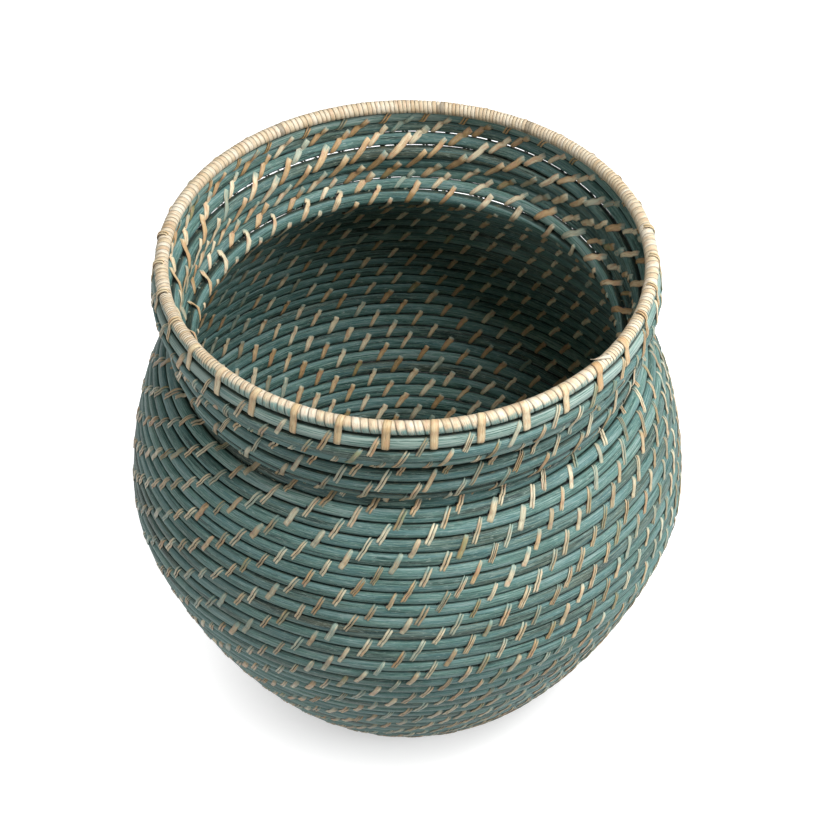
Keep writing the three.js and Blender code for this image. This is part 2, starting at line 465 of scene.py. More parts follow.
@dataclass(frozen=True)
class HoopRattan:
    """Plain rattan of the hoop inside the wrapping."""

    bare: str = "#8a8f74"
    stain: str = "#4c766d"

    def material(self) -> bpy.types.Material:
        """Builds the material."""
        graph = Graph("hoop_rattan")
        grain = graph.noise(Grain.HOOP)
        return graph.surface({
            "Base Color": graph.mix(grain.ramp(0.35, 0.65), linear(self.stain), linear(self.bare)),
            "Roughness": 0.55 + grain.about_half(0.25),
            "Normal": graph.bump(grain, depth=0.2, strength=0.6),
        })


# ---------------------------------------------------------------------------------------------
# Meshes of strands
# ---------------------------------------------------------------------------------------------


@dataclass
class StrandMesh:
    """Closed strands of one kind, gathered into one mesh.

    Attributes:
        points: Millimetres, by strand, ring along it and column round it.
        along: Millimetres along each strand, by strand and ring.
        around: Millimetres round each strand, by strand and column, with one more to close it.
        tone: Four painted values, by strand, ring and column.
        cell_margin: Share of a strand's cell of the second map that is left free at its edges.
        sharp: Edges that bend by more than this many degrees stay crisp.
    """

    points: np.ndarray
    along: np.ndarray
    around: np.ndarray
    tone: np.ndarray
    cell_margin: float = 0.06
    sharp: float = 48.0

    def joined(self, other: "StrandMesh") -> "StrandMesh":
        """These strands with others that have as many rings and columns."""
        parts = ("points", "along", "around", "tone")
        return StrandMesh(*(np.concatenate([getattr(self, part), getattr(other, part)]) for part in parts))

    def _faces(self) -> tuple[np.ndarray, np.ndarray]:
        """Corner numbers of the sides and of the two ends of each strand."""
        index = np.arange(self.points.size // 3).reshape(self.points.shape[:3])
        beside = np.roll(index, -1, axis=2)
        sides = np.stack([index[:, :-1], beside[:, :-1], beside[:, 1:], index[:, 1:]], -1)
        return sides, np.stack([index[:, 0, ::-1], index[:, -1]], 1)

    def _inside_out(self, sides: np.ndarray) -> bool:
        """Tells which way the first strand's sides face.

        Args:
            sides: Corner numbers of the sides.

        Returns:
            Whether they face inwards.
        """
        corners = self.points.reshape(-1, 3)[sides[0].reshape(-1, 4)]
        first, second, third, fourth = np.moveaxis(corners - corners.reshape(-1, 3).mean(0), 1, 0)
        return float((first * (np.cross(second, third) + np.cross(third, fourth))).sum()) < 0.0

    def _side_map(self, low: np.ndarray, high: np.ndarray, left: np.ndarray, right: np.ndarray) -> np.ndarray:
        """Map places of the side faces' corners.

        Args:
            low: Place of each face's lower edge on the map, by strand, ring and column.
            high: The same of its upper edge.
            left: The same of its left edge.
            right: The same of its right edge.

        Returns:
            Two map places for each of the four corners.
        """
        strands, rings, columns = self.points.shape[:3]
        edges = (low, low, high, high, left, right, right, left)
        spread = [np.broadcast_to(edge, (strands, rings - 1, columns)) for edge in edges]
        return np.stack([np.stack(spread[:4], -1), np.stack(spread[4:], -1)], -1)

    def _fibre_map(self) -> tuple[np.ndarray, np.ndarray]:
        """Map in millimetres along and round each strand, for the sides and the ends."""
        along, around = self.along[..., None], self.around[:, None]
        sides = self._side_map(along[:, :-1], along[:, 1:], around[..., :-1], around[..., 1:])
        start = np.stack(np.broadcast_arrays(self.along[:, :1], self.around[:, -2::-1]), -1)
        end = np.stack(np.broadcast_arrays(self.along[:, -1:], self.around[:, :-1]), -1)
        return sides, np.stack([start, end], 1)

    def _bake_map(self) -> tuple[np.ndarray, np.ndarray]:
        """Map with a cell of its own for each strand, or for each length of one long strand."""
        strands, rings, columns = self.points.shape[:3]
        length, girth = float(np.ptp(self.along[0])), float(np.ptp(self.around[0]))
        bands = max(1, round(math.sqrt(length / girth))) if strands == 1 else 1
        run = math.ceil((rings - 1) / bands)
        across = max(1, round(math.sqrt(strands * bands * girth * bands / length)))
        down = math.ceil(strands * bands / across)
        segment = np.arange(rings - 1)
        cell = np.arange(strands)[:, None] * bands + segment[None] // run
        margin, used = self.cell_margin, 1 - 2 * self.cell_margin
        column, row = (cell % across)[..., None], (cell // across)[..., None]
        low, high = (column + (margin + used * (segment % run + more) / run)[:, None] for more in (0, 1))
        rim = row + margin + used * np.linspace(0.0, 1.0, columns + 1)
        sides = self._side_map(low / across, high / across, rim[..., :-1] / down, rim[..., 1:] / down)
        turn = FULL_TURN * np.arange(columns) / columns
        ends = []
        for number, edge, way in ((cell[:, :1], margin / 2, -1), (cell[:, -1:], 1.0 - margin / 2, 1)):
            cap_u = number % across + edge + 0.4 * margin * np.cos(way * turn)
            cap_v = number // across + 0.5 + 0.3 * np.sin(way * turn)
            ends.append(np.stack([cap_u / across, cap_v / down], -1))
        return sides, np.stack(ends, 1)

    def build(self, name: str) -> bpy.types.Object:
        """Makes the mesh and its object.

        Args:
            name: Name of the piece.

        Returns:
            The object, in the scene's collection.
        """
        sides, ends = self._faces()
        maps = {"Fibre": self._fibre_map(), "OFBake": self._bake_map()}
        if self._inside_out(sides):
            sides, ends = sides[..., ::-1], ends[..., ::-1]
            maps = {key: (side[..., ::-1, :], end[..., ::-1, :]) for key, (side, end) in maps.items()}
        columns = self.points.shape[2]
        corners = np.concatenate([sides.ravel(), ends.ravel()]).astype(np.int32)
        sizes = np.repeat([4, columns], [sides.size // 4, ends.size // columns])
        mesh = bpy.data.meshes.new(name)
        mesh.vertices.add(self.points.size // 3)
        mesh.vertices.foreach_set("co", (self.points * MM).astype(np.float32).ravel())
        mesh.loops.add(len(corners))
        mesh.loops.foreach_set("vertex_index", corners)
        mesh.polygons.add(len(sizes))
        mesh.polygons.foreach_set("loop_start", running_sum(sizes)[:-1].astype(np.int32))
        mesh.polygons.foreach_set("use_smooth", np.ones(len(sizes), bool))
        mesh.update(calc_edges=True)
        for key, parts in maps.items():
            places = np.concatenate([part.reshape(-1, 2) for part in parts]).astype(np.float32)
            mesh.uv_layers.new(name=key).uv.foreach_set("vector", places.ravel())
        mesh.uv_layers.active_index = 0
        paint = mesh.color_attributes.new(name="Tone", type="FLOAT_COLOR", domain="POINT")
        paint.data.foreach_set("color", self.tone.astype(np.float32).ravel())
        mesh.set_sharp_from_angle(angle=math.radians(self.sharp))
        piece = bpy.data.objects.new(name, mesh)
        bpy.context.scene.collection.objects.link(piece)
        return piece


def strip_tone(
    chance: object, shade: object, stain: object, hollow_shade: object, shape: tuple[int, int]
) -> np.ndarray:
    """The four painted values of strips, spread over strands and rings."""
    return np.stack([np.broadcast_to(part, shape) for part in (chance, shade, stain, hollow_shade)], -1)


@dataclass(frozen=True)
class CaneStrip:
    """Cross-section of split cane: flat below, with a crowned upper side and painted shade on its edges.

    Attributes:
        thickness: Millimetres through the strip.
        outline: Corners, as shares of the width and thickness.
        edge_shade: How much painted shade each corner has at least.
        edge_stain: How much further the stain goes at each corner.
    """

    thickness: float = 0.5
    outline: tuple[tuple[float, float], ...] = (
        (-0.47, -0.5), (0.47, -0.5), (0.5, -0.05), (0.28, 0.46), (-0.28, 0.46), (-0.5, -0.05)
    )
    edge_shade: tuple[float, ...] = (0.8, 0.8, 0.42, 0.0, 0.0, 0.42)
    edge_stain: tuple[float, ...] = (0.3, 0.3, 0.2, 0.0, 0.0, 0.2)

    def sweep(
        self, middles: np.ndarray, normals: np.ndarray, widths: np.ndarray, shift: np.ndarray, tone: np.ndarray
    ) -> StrandMesh:
        """Strips along paths.

        Args:
            middles: Places on the paths, by strand and ring.
            normals: Directions away from what the strip lies on.
            widths: Width of each strip at each ring.
            shift: How far each strand lies to the side of its path.
            tone: Chance, painted shade, stain and near-black painted shade, by strand and ring.

        Returns:
            The strands. Each has its own place in the pattern of fibres.
        """
        tangent = unit(np.gradient(middles, axis=1))
        normal = unit(normals - tangent * (normals * tangent).sum(-1, keepdims=True))
        side = np.cross(tangent, normal)
        middles = middles + side * shift[:, None, None]
        outline = np.array(self.outline)
        thick = self.thickness * smooth(widths / np.maximum(widths.max(1, keepdims=True), 1e-6) + 0.25)
        points = (
            middles[:, :, None]
            + side[:, :, None] * (outline[:, 0] * widths[..., None])[..., None]
            + normal[:, :, None] * (outline[:, 1] * thick[..., None])[..., None]
        )
        along = running_sum(np.linalg.norm(np.diff(middles, axis=1), axis=-1))
        size = np.stack([widths.max(1), np.full(len(widths), self.thickness)], -1)[:, None]
        spans = np.diff(np.concatenate([outline, outline[:1]]), axis=0) * size
        around = running_sum(np.linalg.norm(spans, axis=-1))
        order = np.arange(len(middles))[:, None]
        paint = np.repeat(tone[:, :, None], len(outline), 2)
        # Painted shade on the strip's lower corners and sides.
        paint[..., 1] = np.maximum(paint[..., 1], np.array(self.edge_shade))
        paint[..., 2] = np.clip(paint[..., 2] * (1.0 + np.array(self.edge_stain)), 0.0, 1.0)
        return StrandMesh(points, along + order * 31.7, around + order * 7.3, paint)


# ---------------------------------------------------------------------------------------------
# The coil
# ---------------------------------------------------------------------------------------------


@dataclass
class Sections:
    """Section planes of the rod: its middle, outward, up the wall, and its girth."""

    middle: np.ndarray
    outward: np.ndarray
    up: np.ndarray
    girth: np.ndarray

    def facing(self, turn: np.ndarray) -> np.ndarray:
        """Directions at radians round the rod."""
        return self.outward * np.cos(turn)[..., None] + self.up * np.sin(turn)[..., None]


@dataclass
class CoilPath:
    """Law of the rod that winds from the middle of the base up to the rim, and the rim's place."""

    belly_diameter: float = 300.0
    belly_height: float = 130.0
    base_diameter: float = 158.0
    shoulder_diameter: float = 234.0
    shoulder_height: float = 223.6
    lower_fullness: float = 1.29
    upper_fullness: float = 1.73
    rod_diameter: float = 6.85
    row_gap: float = 0.55
    collar_directions: tuple[float, ...] = (120.0, 25.0, 72.0, 97.0, 98.0, 48.0, 68.0, 98.0)
    climb_centre: float = 144.0
    climb_angle: float = 108.0
    levelling_rows: float = 30.0
    squeeze_share: float = 0.024
    eye_turns: float = 0.7
    longest_rod: float = 3700.0
    thinnest_end: float = 0.3
    hoop_diameter: float = 5.2
    wrap_clearance: float = 0.3
    cane_thickness: float = 0.75
    rim_seat: float = 0.8
    rim_direction: float = 104.0
    stations: int = 20
    rod_sides: int = 6
    wrap_sides: int = 8

    def __post_init__(self) -> None:
        """Works out the profile and the sizes that follow from it."""
        self.rod_radius = self.rod_diameter / 2
        self.half_thickness = self.rod_radius * math.cos(math.pi / self.rod_sides)
        self._t = np.linspace(0.0, 1.0, 3001)
        self._reach = running_sum(np.linalg.norm(np.diff(self._profile(self._t), axis=0), axis=1))
        length = float(self._reach[-1])
        self.wall_rows = math.floor(length / (self.rod_diameter + self.row_gap))
        self.pitch = length / self.wall_rows
        self.base_rows = self.base_diameter / 2 / self.pitch
        self.top_row = self.wall_rows + len(self.collar_directions)
        self.climb_share = self.climb_angle / 360.0
        last, shoulder = self.profile_at(np.array([1.0 - 1.0 / self.wall_rows, 1.0]))
        run, rise = shoulder - last
        self._step_angles = np.array([math.degrees(math.atan2(rise, run)), *self.collar_directions])
        self._step_lengths = np.array([math.hypot(run, rise)] + [self.pitch] * len(self.collar_directions))
        self.wrap_reach = self.hoop_diameter / 2 + self.wrap_clearance + self.cane_thickness
        self.rim_radius = self.wrap_reach / math.cos(math.pi / self.wrap_sides)
        lean = math.radians(self.rim_direction)
        rim_step = self.rod_radius + self.rim_seat + self.rim_radius
        top = self.point(np.array([float(self.top_row)]))[0]
        self.rim_point = top + rim_step * np.array([math.cos(lean), math.sin(lean)])
        self.taper_start = self.top_row + 0.5 - self.climb_share / 2

    def _profile(self, t: np.ndarray) -> np.ndarray:
        """The wall's middle line, a third each for base, lower and upper belly.

        Args:
            t: Places along it, from 0 to 1.

        Returns:
            Radius and height of each place.
        """
        base = self.base_diameter / 2, self.half_thickness
        belly = self.belly_diameter / 2 - self.half_thickness, self.belly_height
        shoulder = self.shoulder_diameter / 2, self.shoulder_height
        low, high = (np.clip(3 * t - third, 0, 1) * math.pi / 2 for third in (1, 2))
        lower, upper = 2 / self.lower_fullness, 2 / self.upper_fullness
        in_base, in_lower = t < 1 / 3, t < 2 / 3
        radius = np.select(
            [in_base, in_lower],
            [base[0] * 3 * t, blend(base[0], belly[0], np.sin(low) ** lower)],
            blend(shoulder[0], belly[0], np.abs(np.cos(high)) ** upper),
        )
        height = np.where(
            in_lower,
            blend(base[1], belly[1], 1 - np.cos(low) ** lower),
            blend(belly[1], shoulder[1], np.sin(high) ** upper),
        )
        return np.stack([radius, height], -1)

    def profile_at(self, share: np.ndarray) -> np.ndarray:
        """Radius and height at a share of the profile's length."""
        return self._profile(np.interp(np.clip(share, 0, 1) * self._reach[-1], self._reach, self._t))

    def angle(self, rows: np.ndarray) -> np.ndarray:
        """Radians round the basket."""
        return np.radians(self.climb_centre + 360.0 * (rows + 0.5))

    def girth_length(self, rows: np.ndarray) -> np.ndarray:
        """Millimetres once round the basket at row numbers."""
        return FULL_TURN * np.maximum(self.point(rows)[..., 0], 6.0)

    def wall_share(self, rows: np.ndarray) -> np.ndarray:
        """Share of the way from the flat base into the wall, at row numbers."""
        return ramp(rows, self.base_rows - 1.0, self.base_rows + 0.6)

    def collar_share(self, rows: np.ndarray, span: float) -> np.ndarray:
        """Share of the way into the collar, which takes a number of rows."""
        return ramp(rows, self.wall_rows, self.wall_rows + span)

    def levelled(self, rows: np.ndarray) -> np.ndarray:
        """Moves row numbers towards their level places, fully so in the upper wall.

        Args:
            rows: Row numbers.

        Returns:
            The row numbers that the rod's height follows.
        """
        turn = np.mod(rows + 0.5, 1.0)
        half = self.climb_share / 2
        level = np.where(turn < half, smooth((turn + half) / self.climb_share) - 1.0, 0.0)
        level = np.where(turn > 1 - half, smooth((turn - 1 + half) / self.climb_share), level)
        share = np.clip((rows - self.base_rows) / self.levelling_rows, 0, 1)
        return rows + share * (level - (turn - 0.5))

    def _collar_step(self, level: np.ndarray) -> np.ndarray:
        """Step to a collar row from the row below it.

        Args:
            level: Levelled row numbers over the wall's last.

        Returns:
            Millimetres outwards and up.
        """
        index = np.minimum(np.floor(level - self.wall_rows).astype(int), len(self._step_angles) - 2)
        share = np.minimum(level - self.wall_rows - index, 1.0)
        angle, length = (
            part[index] * (1 - share) + part[index + 1] * share
            for part in (np.radians(self._step_angles), self._step_lengths)
        )
        length = length * (1 - 4 * share * (1 - share) * self.squeeze_share)
        return np.stack([np.cos(angle), np.sin(angle)], -1) * length[..., None]

    def point(self, rows: np.ndarray) -> np.ndarray:
        """The rod's middle, over the base, the wall and the collar.

        Args:
            rows: Row numbers.

        Returns:
            Radius and height at each.
        """
        level = self.levelled(np.maximum(rows, 0.0))
        place = self.profile_at(level / self.wall_rows)
        collar = level > self.wall_rows
        if collar.any():
            place[collar] = self.point(rows[collar] - 1.0) + self._collar_step(level[collar])
        return place

    def _tapered(self, rows: np.ndarray) -> tuple[np.ndarray, np.ndarray]:
        """The last rod, where the row below climbs to the rim.

        Args:
            rows: Row numbers after the start of the taper.

        Returns:
            Radius and height of the middle, and the girth as a share of the full one.
        """
        below = self.point(rows - 1.0)
        to_rim = self.rim_point - below
        reach = np.linalg.norm(to_rim, axis=-1)
        room = reach - self.rod_radius - self.rim_radius - self.row_gap - self.rim_seat
        girth = np.minimum(room / self.rod_diameter, 1.0)
        distance = self.rod_radius * (1 + girth) + self.row_gap
        return below + to_rim / reach[..., None] * distance[..., None], girth

    def sections(self, rows: np.ndarray) -> Sections:
        """Section planes of the rod.

        Args:
            rows: Row numbers.

        Returns:
            The planes, in millimetres, one for each row number.
        """
        place, girth = self.point(rows), np.ones(rows.shape)
        late = rows > self.taper_start
        if late.any():
            place[late], girth[late] = self._tapered(rows[late])
        level_rows = np.minimum(rows, self.top_row)
        here, below = self.point(level_rows), self.point(level_rows - 1.0)
        last = (level_rows + 1 > self.top_row)[..., None]
        above = np.where(last, self.rim_point, self.point(level_rows + 1.0))
        share = np.clip((level_rows - self.base_rows - 1) / 2, 0, 1)[..., None]
        wall = unit(here - below + (above - here) * share)
        out = outwards(self.angle(rows))
        return Sections(
            middle=out * place[..., :1] + RISE * place[..., 1:],
            outward=out * wall[..., 1:] - RISE * wall[..., :1],
            up=out * wall[..., :1] + RISE * wall[..., 1:],
            girth=girth,
        )

    @cached_property
    def splices(self) -> list[tuple[float, float]]:
        """Row numbers between which each rod runs: the base, then equal lengths of the wall."""
        first = round((self.eye_turns + 0.5) * self.stations)
        last = int((self.top_row + 1 + self.climb_share / 2) * self.stations)
        rows = np.arange(first, last + 1) / self.stations - 0.5
        planes = self.sections(rows)
        rows = rows[: int(np.argmax(planes.girth < self.thinnest_end)) or len(rows)]
        runs = np.linalg.norm(np.diff(planes.middle[: len(rows)], axis=0), axis=1)
        base_end = math.ceil((self.base_rows + 0.5) * self.stations) - first
        reach = running_sum(np.where(np.arange(1, len(rows)) > base_end, runs, 0.0))
        rods = math.ceil(reach[-1] / self.longest_rod)
        cuts = [int(np.searchsorted(reach, reach[-1] * part / rods)) for part in range(1, rods)]
        ends = [0, base_end, *cuts, len(rows) - 1]
        return [(float(rows[a]), float(rows[b])) for a, b in zip(ends, ends[1:])]

    @property
    def end(self) -> float:
        """Row number where the last rod ends."""
        return self.splices[-1][1]

    def on_rim(self, angle: np.ndarray, turn: np.ndarray, reach: np.ndarray) -> tuple[np.ndarray, np.ndarray]:
        """Places round the hoop.

        Args:
            angle: Radians round the basket.
            turn: Radians round the hoop, from its outer side through its top.
            reach: Millimetres from the middle of the hoop.

        Returns:
            The places and the directions away from the hoop.
        """
        out = outwards(angle)
        normal = out * np.cos(turn)[..., None] + RISE * np.sin(turn)[..., None]
        return out * self.rim_point[0] + RISE * self.rim_point[1] + normal * reach[..., None], normal


@dataclass
class FoundationRods:
    """The ten rods that follow one another along the coil."""

    coil: CoilPath
    half_width: float = 3.61
    collar_half_width: float = 3.42
    base_half_width: float = 3.8
    base_half_thickness: float = 2.45
    flat_out: float = 0.74
    flat_up: float = 0.8
    sides: int = 20
    rings_per_turn: int = 144
    splice_gap: float = 0.3
    ridge: float = 0.07
    ridge_length: float = 45.0
    girth_change: float = 0.03
    girth_length: float = 60.0
    sway_out: float = 0.2
    sway_out_length: float = 38.0
    sway_up: float = 0.15
    sway_up_length: float = 40.0
    collar_sway: float = 0.2
    patch_length: float = 120.0
    crease_start: float = 0.8
    map_radius: float = 3.2
    seed: int = 11

    def outline(self, turn: np.ndarray) -> tuple[np.ndarray, np.ndarray]:
        """Shares of the half thickness and half width at radians round the rod, with flattened sides."""
        out, up = np.cos(turn), np.sin(turn)
        return np.sign(out) * np.abs(out) ** self.flat_out, np.sign(up) * np.abs(up) ** self.flat_up

    def half_sizes(self, rows: np.ndarray) -> tuple[np.ndarray, np.ndarray]:
        """Half sizes of the rod's section.

        Args:
            rows: Row numbers.

        Returns:
            Half of the rod's thickness, and of its width along the wall.
        """
        coil = self.coil
        thick = blend(self.base_half_thickness, coil.half_thickness, coil.wall_share(rows))
        width = blend(self.half_width, self.collar_half_width, coil.collar_share(rows, 2.0))
        broad = 1.0 - ramp(rows, coil.base_rows + 2.0, coil.base_rows + 6.0)
        return thick, width + (self.base_half_width - self.half_width) * broad

    def surface(self, rows: np.ndarray, turn: np.ndarray, lift: np.ndarray) -> tuple[np.ndarray, Sections]:
        """Places over the rods.

        Args:
            rows: Row numbers.
            turn: Radians round the rod.
            lift: Millimetres over its surface.

        Returns:
            The places, and the section planes at the row numbers.
        """
        rows = np.minimum(rows, self.coil.end - 1e-3)
        planes = self.coil.sections(rows)
        thick, width = self.half_sizes(rows)
        out, up = self.outline(turn)
        outward = thick * planes.girth * out + lift * np.cos(turn)
        upward = width * planes.girth * up + lift * np.sin(turn)
        return planes.middle + planes.outward * outward[..., None] + planes.up * upward[..., None], planes

    def _tone(self, rows: np.ndarray, turn: np.ndarray, patch: np.ndarray, chance: float) -> np.ndarray:
        """Painted values of one rod.

        Args:
            rows: Row number of each ring.
            turn: Radians round the rod of each column.
            patch: Slow change of the stain along the rod.
            chance: Random value of the rod.

        Returns:
            Chance, painted crease shade, patch, and wear with a painted sheen, by ring and column.
        """
        coil = self.coil
        # Painted shade: darker towards the rod's upper and lower sides, where the rows meet.
        crease = ramp(np.abs(np.sin(turn)), self.crease_start, 1.0)
        # The top row is paler in its patch and wear values: worn paint with white streaks, and a painted sheen
        # that is strongest towards the front.
        top = ramp(rows, coil.top_row - 0.75, coil.top_row - 0.35)
        patch = np.clip(0.5 + 0.5 * patch + 0.6 * top, 0.0, 1.5)
        front = 0.5 + 0.5 * np.cos(coil.angle(rows) - math.radians(10.0))
        wear_and_sheen = 0.06 + top * (0.25 + 0.4 * front)
        parts = np.broadcast_arrays(chance, crease[None], patch[:, None], wear_and_sheen[:, None])
        return np.stack(parts, -1)

    def _strand(self, start: float, end: float, rng: np.random.Generator) -> StrandMesh:
        """One rod of the coil.

        Args:
            start: Row number where it starts.
            end: Row number where it ends.
            rng: Source of the random values.

        Returns:
            The rod, with sway and ridges.
        """
        coil = self.coil
        radius = coil.point(np.array([start, end]))[:, 0]
        trim = self.splice_gap / 2 / (FULL_TURN * np.maximum(radius, 4.0))
        rows = np.linspace(start + trim[0], end - trim[1], int((end - start) * self.rings_per_turn) + 2)
        planes = coil.sections(rows)
        along = running_sum(np.linalg.norm(np.diff(planes.middle, axis=0), axis=1))
        turn = -math.pi / 2 + FULL_TURN * np.arange(self.sides) / self.sides
        thick, width = self.half_sizes(rows)
        swell = planes.girth * (1 + self.girth_change * drift(rng, along, self.girth_length))
        ribs = np.stack([drift(rng, along, self.ridge_length) for _ in turn], -1) * self.ridge
        outward, upward = self.outline(turn)
        outward = outward * (thick * swell)[:, None] + ribs * np.cos(turn)
        upward = upward * (width * swell)[:, None] + ribs * np.sin(turn)
        calm = ramp(rows, coil.base_rows + 0.5, coil.base_rows + 2.0) * planes.girth
        sway_out = drift(rng, along, self.sway_out_length) * self.sway_out * calm
        sway_size = self.sway_up + self.collar_sway * coil.collar_share(rows, 2.0)
        sway_up = drift(rng, along, self.sway_up_length) * sway_size
        points = (
            planes.middle[:, None]
            + planes.outward[:, None] * (outward + sway_out[:, None])[..., None]
            + planes.up[:, None] * (upward + sway_up[:, None])[..., None]
        )
        around = np.arange(self.sides + 1) * (FULL_TURN * self.map_radius / self.sides)
        patch = drift(rng, along, self.patch_length)
        tone = self._tone(rows, turn, patch, rng.random())
        return StrandMesh(points[None], along[None] + start * 900.0, around[None], tone[None], cell_margin=0.01)

    def build(self, material: bpy.types.Material) -> None:
        """Builds the rods and puts each in place of its node.

        Args:
            material: Finish of the rods.
        """
        rng = np.random.default_rng(self.seed)
        for number, (start, end) in enumerate(self.coil.splices):
            node = f"wall_rod_{number:02d}" if number else "base_rod"
            name = f"wall_coil_{number:02d}" if number else "base_coil"
            place_piece(self._strand(start, end, rng).build(name), material, [node])


# ---------------------------------------------------------------------------------------------
# The stitches
# ---------------------------------------------------------------------------------------------


@dataclass
class StitchRhythm:
    """Where along the coil the stitches lie. Each row's stitches lie a little further round."""

    per_turn: float = 35.0
    wall_shift: float = 3.8
    collar_shift: float = 4.8
    base_spacing: float = 12.5
    anchor_row: float = 51.1028
    neck_turn: float = 3.1
    first_row: float = 0.8
    step: float = 0.002

    def rows(self, coil: CoilPath) -> np.ndarray:
        """Places of the stitches. Below the neck they lie a little further round.

        Args:
            coil: The rod's law.

        Returns:
            Row numbers at which stitches start, from the base up.
        """
        grid = np.arange(self.first_row, coil.end, self.step)
        shift = np.interp(grid, [coil.wall_rows, coil.wall_rows + 5.0], [self.wall_shift, self.collar_shift])
        density = np.minimum(self.per_turn / (1 + shift / 360), coil.girth_length(grid) / self.base_spacing)
        count = running_sum((density[1:] + density[:-1]) / 2 * self.step)
        phase = float(np.interp(self.anchor_row, grid, count)) % 1.0
        rows = np.interp(np.arange(phase, count[-1], 1.0), count, grid)
        return rows + self.neck_turn / 360 * (1.0 - coil.collar_share(rows, 3.0))


class Strip(Enum):
    """How a stitch is made up, with the widths of its strands and how far each lies to the side."""

    WHOLE = ((2.7, 0.0),)
    SPLIT = ((1.2, -0.72), (1.12, 0.7))
    THREE = ((0.8, -0.94), (0.78, 0.0), (0.74, 0.9))


@dataclass(frozen=True)
class StitchPath:
    """Course of a stitch over the rods.

    Attributes:
        places: Row above its own, degrees round that rod, lift, and how far the reach moves it.
        facing: Degrees round a rod at which the stitch lies flattest.
        tightness: How far the stitch is pulled straight from rod to rod.
        depth_share: How far the lean follows the stitch down into the crease, beside its rise.
        passes: How often the pull goes along the stitch.
    """

    places: tuple[tuple[float, float, float, float], ...]
    facing: float
    tightness: float = 0.7
    depth_share: float = 0.45
    passes: int = 24

    def height(self, rods: FoundationRods, reach: np.ndarray) -> np.ndarray:
        """How far the stitch has come at each of its places.

        Args:
            rods: The rods that the stitch lies on.
            reach: Degrees by which the free end of each strand goes further.

        Returns:
            Millimetres up the wall and a share of the depth, by strand and place.
        """
        above, turn, _, free = np.array(self.places).T
        out, up = rods.outline(np.radians(turn + reach[:, None] * free))
        return above * rods.coil.pitch + rods.half_width * (up + self.depth_share * (1.0 - np.abs(out)))

    def _tightened(self, middles: np.ndarray, planes: Sections) -> np.ndarray:
        """Moves places out of the creases, towards where a tight strip runs from rod to rod.

        Args:
            middles: Places of the strands, by strand and place.
            planes: Section planes of the rod at the places.

        Returns:
            The moved places.
        """
        face = unit(planes.outward.mean(1) * math.cos(math.radians(self.facing)))
        height = np.einsum("skd,sd->sk", middles, planes.up.mean(1))
        slack = np.einsum("skd,sd->sk", middles, face)
        depth = slack.copy()
        span = height[:, 2:] - height[:, :-2]
        share = (height[:, 1:-1] - height[:, :-2]) / np.where(np.abs(span) < 1e-6, 1e-6, span)
        share = np.clip(share, 0.0, 1.0)
        for _ in range(self.passes):
            depth[:, 1:-1] = np.maximum(depth[:, 1:-1], blend(depth[:, :-2], depth[:, 2:], share))
        return middles + face[:, None] * ((depth - slack) * self.tightness)[..., None]

    def follow(
        self, rods: FoundationRods, rows: np.ndarray, slant: np.ndarray, reach: np.ndarray, dip: np.ndarray,
        rings: int, beside: "StitchPath | None" = None,
    ) -> tuple[np.ndarray, np.ndarray]:
        """Paths of stitches that start at row numbers, straight across the wall.

        Args:
            rods: The rods that the stitches lie on.
            rows: Row number of each strand.
            slant: How far each leans round the basket, in millimetres.
            reach: Degrees by which the free end of each goes further.
            dip: How much deeper each lies, in millimetres.
            rings: Number of rings along each.
            beside: Path of the stitch that this one keeps beside, if not its own.

        Returns:
            Middles and normals, by strand and ring.
        """
        above, turn, lift, free = np.array(self.places).T
        turn = np.radians(turn + reach[:, None] * free)
        whole = (beside or self).height(rods, np.zeros(1))[0]
        share = (self.height(rods, reach) - whole[0]) / (whole[-1] - whole[0])
        moved = rows[:, None] + above + (slant / rods.coil.girth_length(rows))[:, None] * share
        sunk = dip[:, None] * (0.3 + 0.7 * rods.coil.wall_share(moved))
        middles, planes = rods.surface(moved, turn, lift - sunk)
        facing = math.radians(self.facing)
        roll = 0.2 + 0.4 * np.linspace(-1.0, 1.0, len(above)) ** 2
        lines = self._tightened(middles, planes), planes.facing(facing + (turn - facing) * roll)
        weights = spline_weights(len(above), rings)
        return tuple(np.einsum("rk,skd->srd", weights, line) for line in lines)


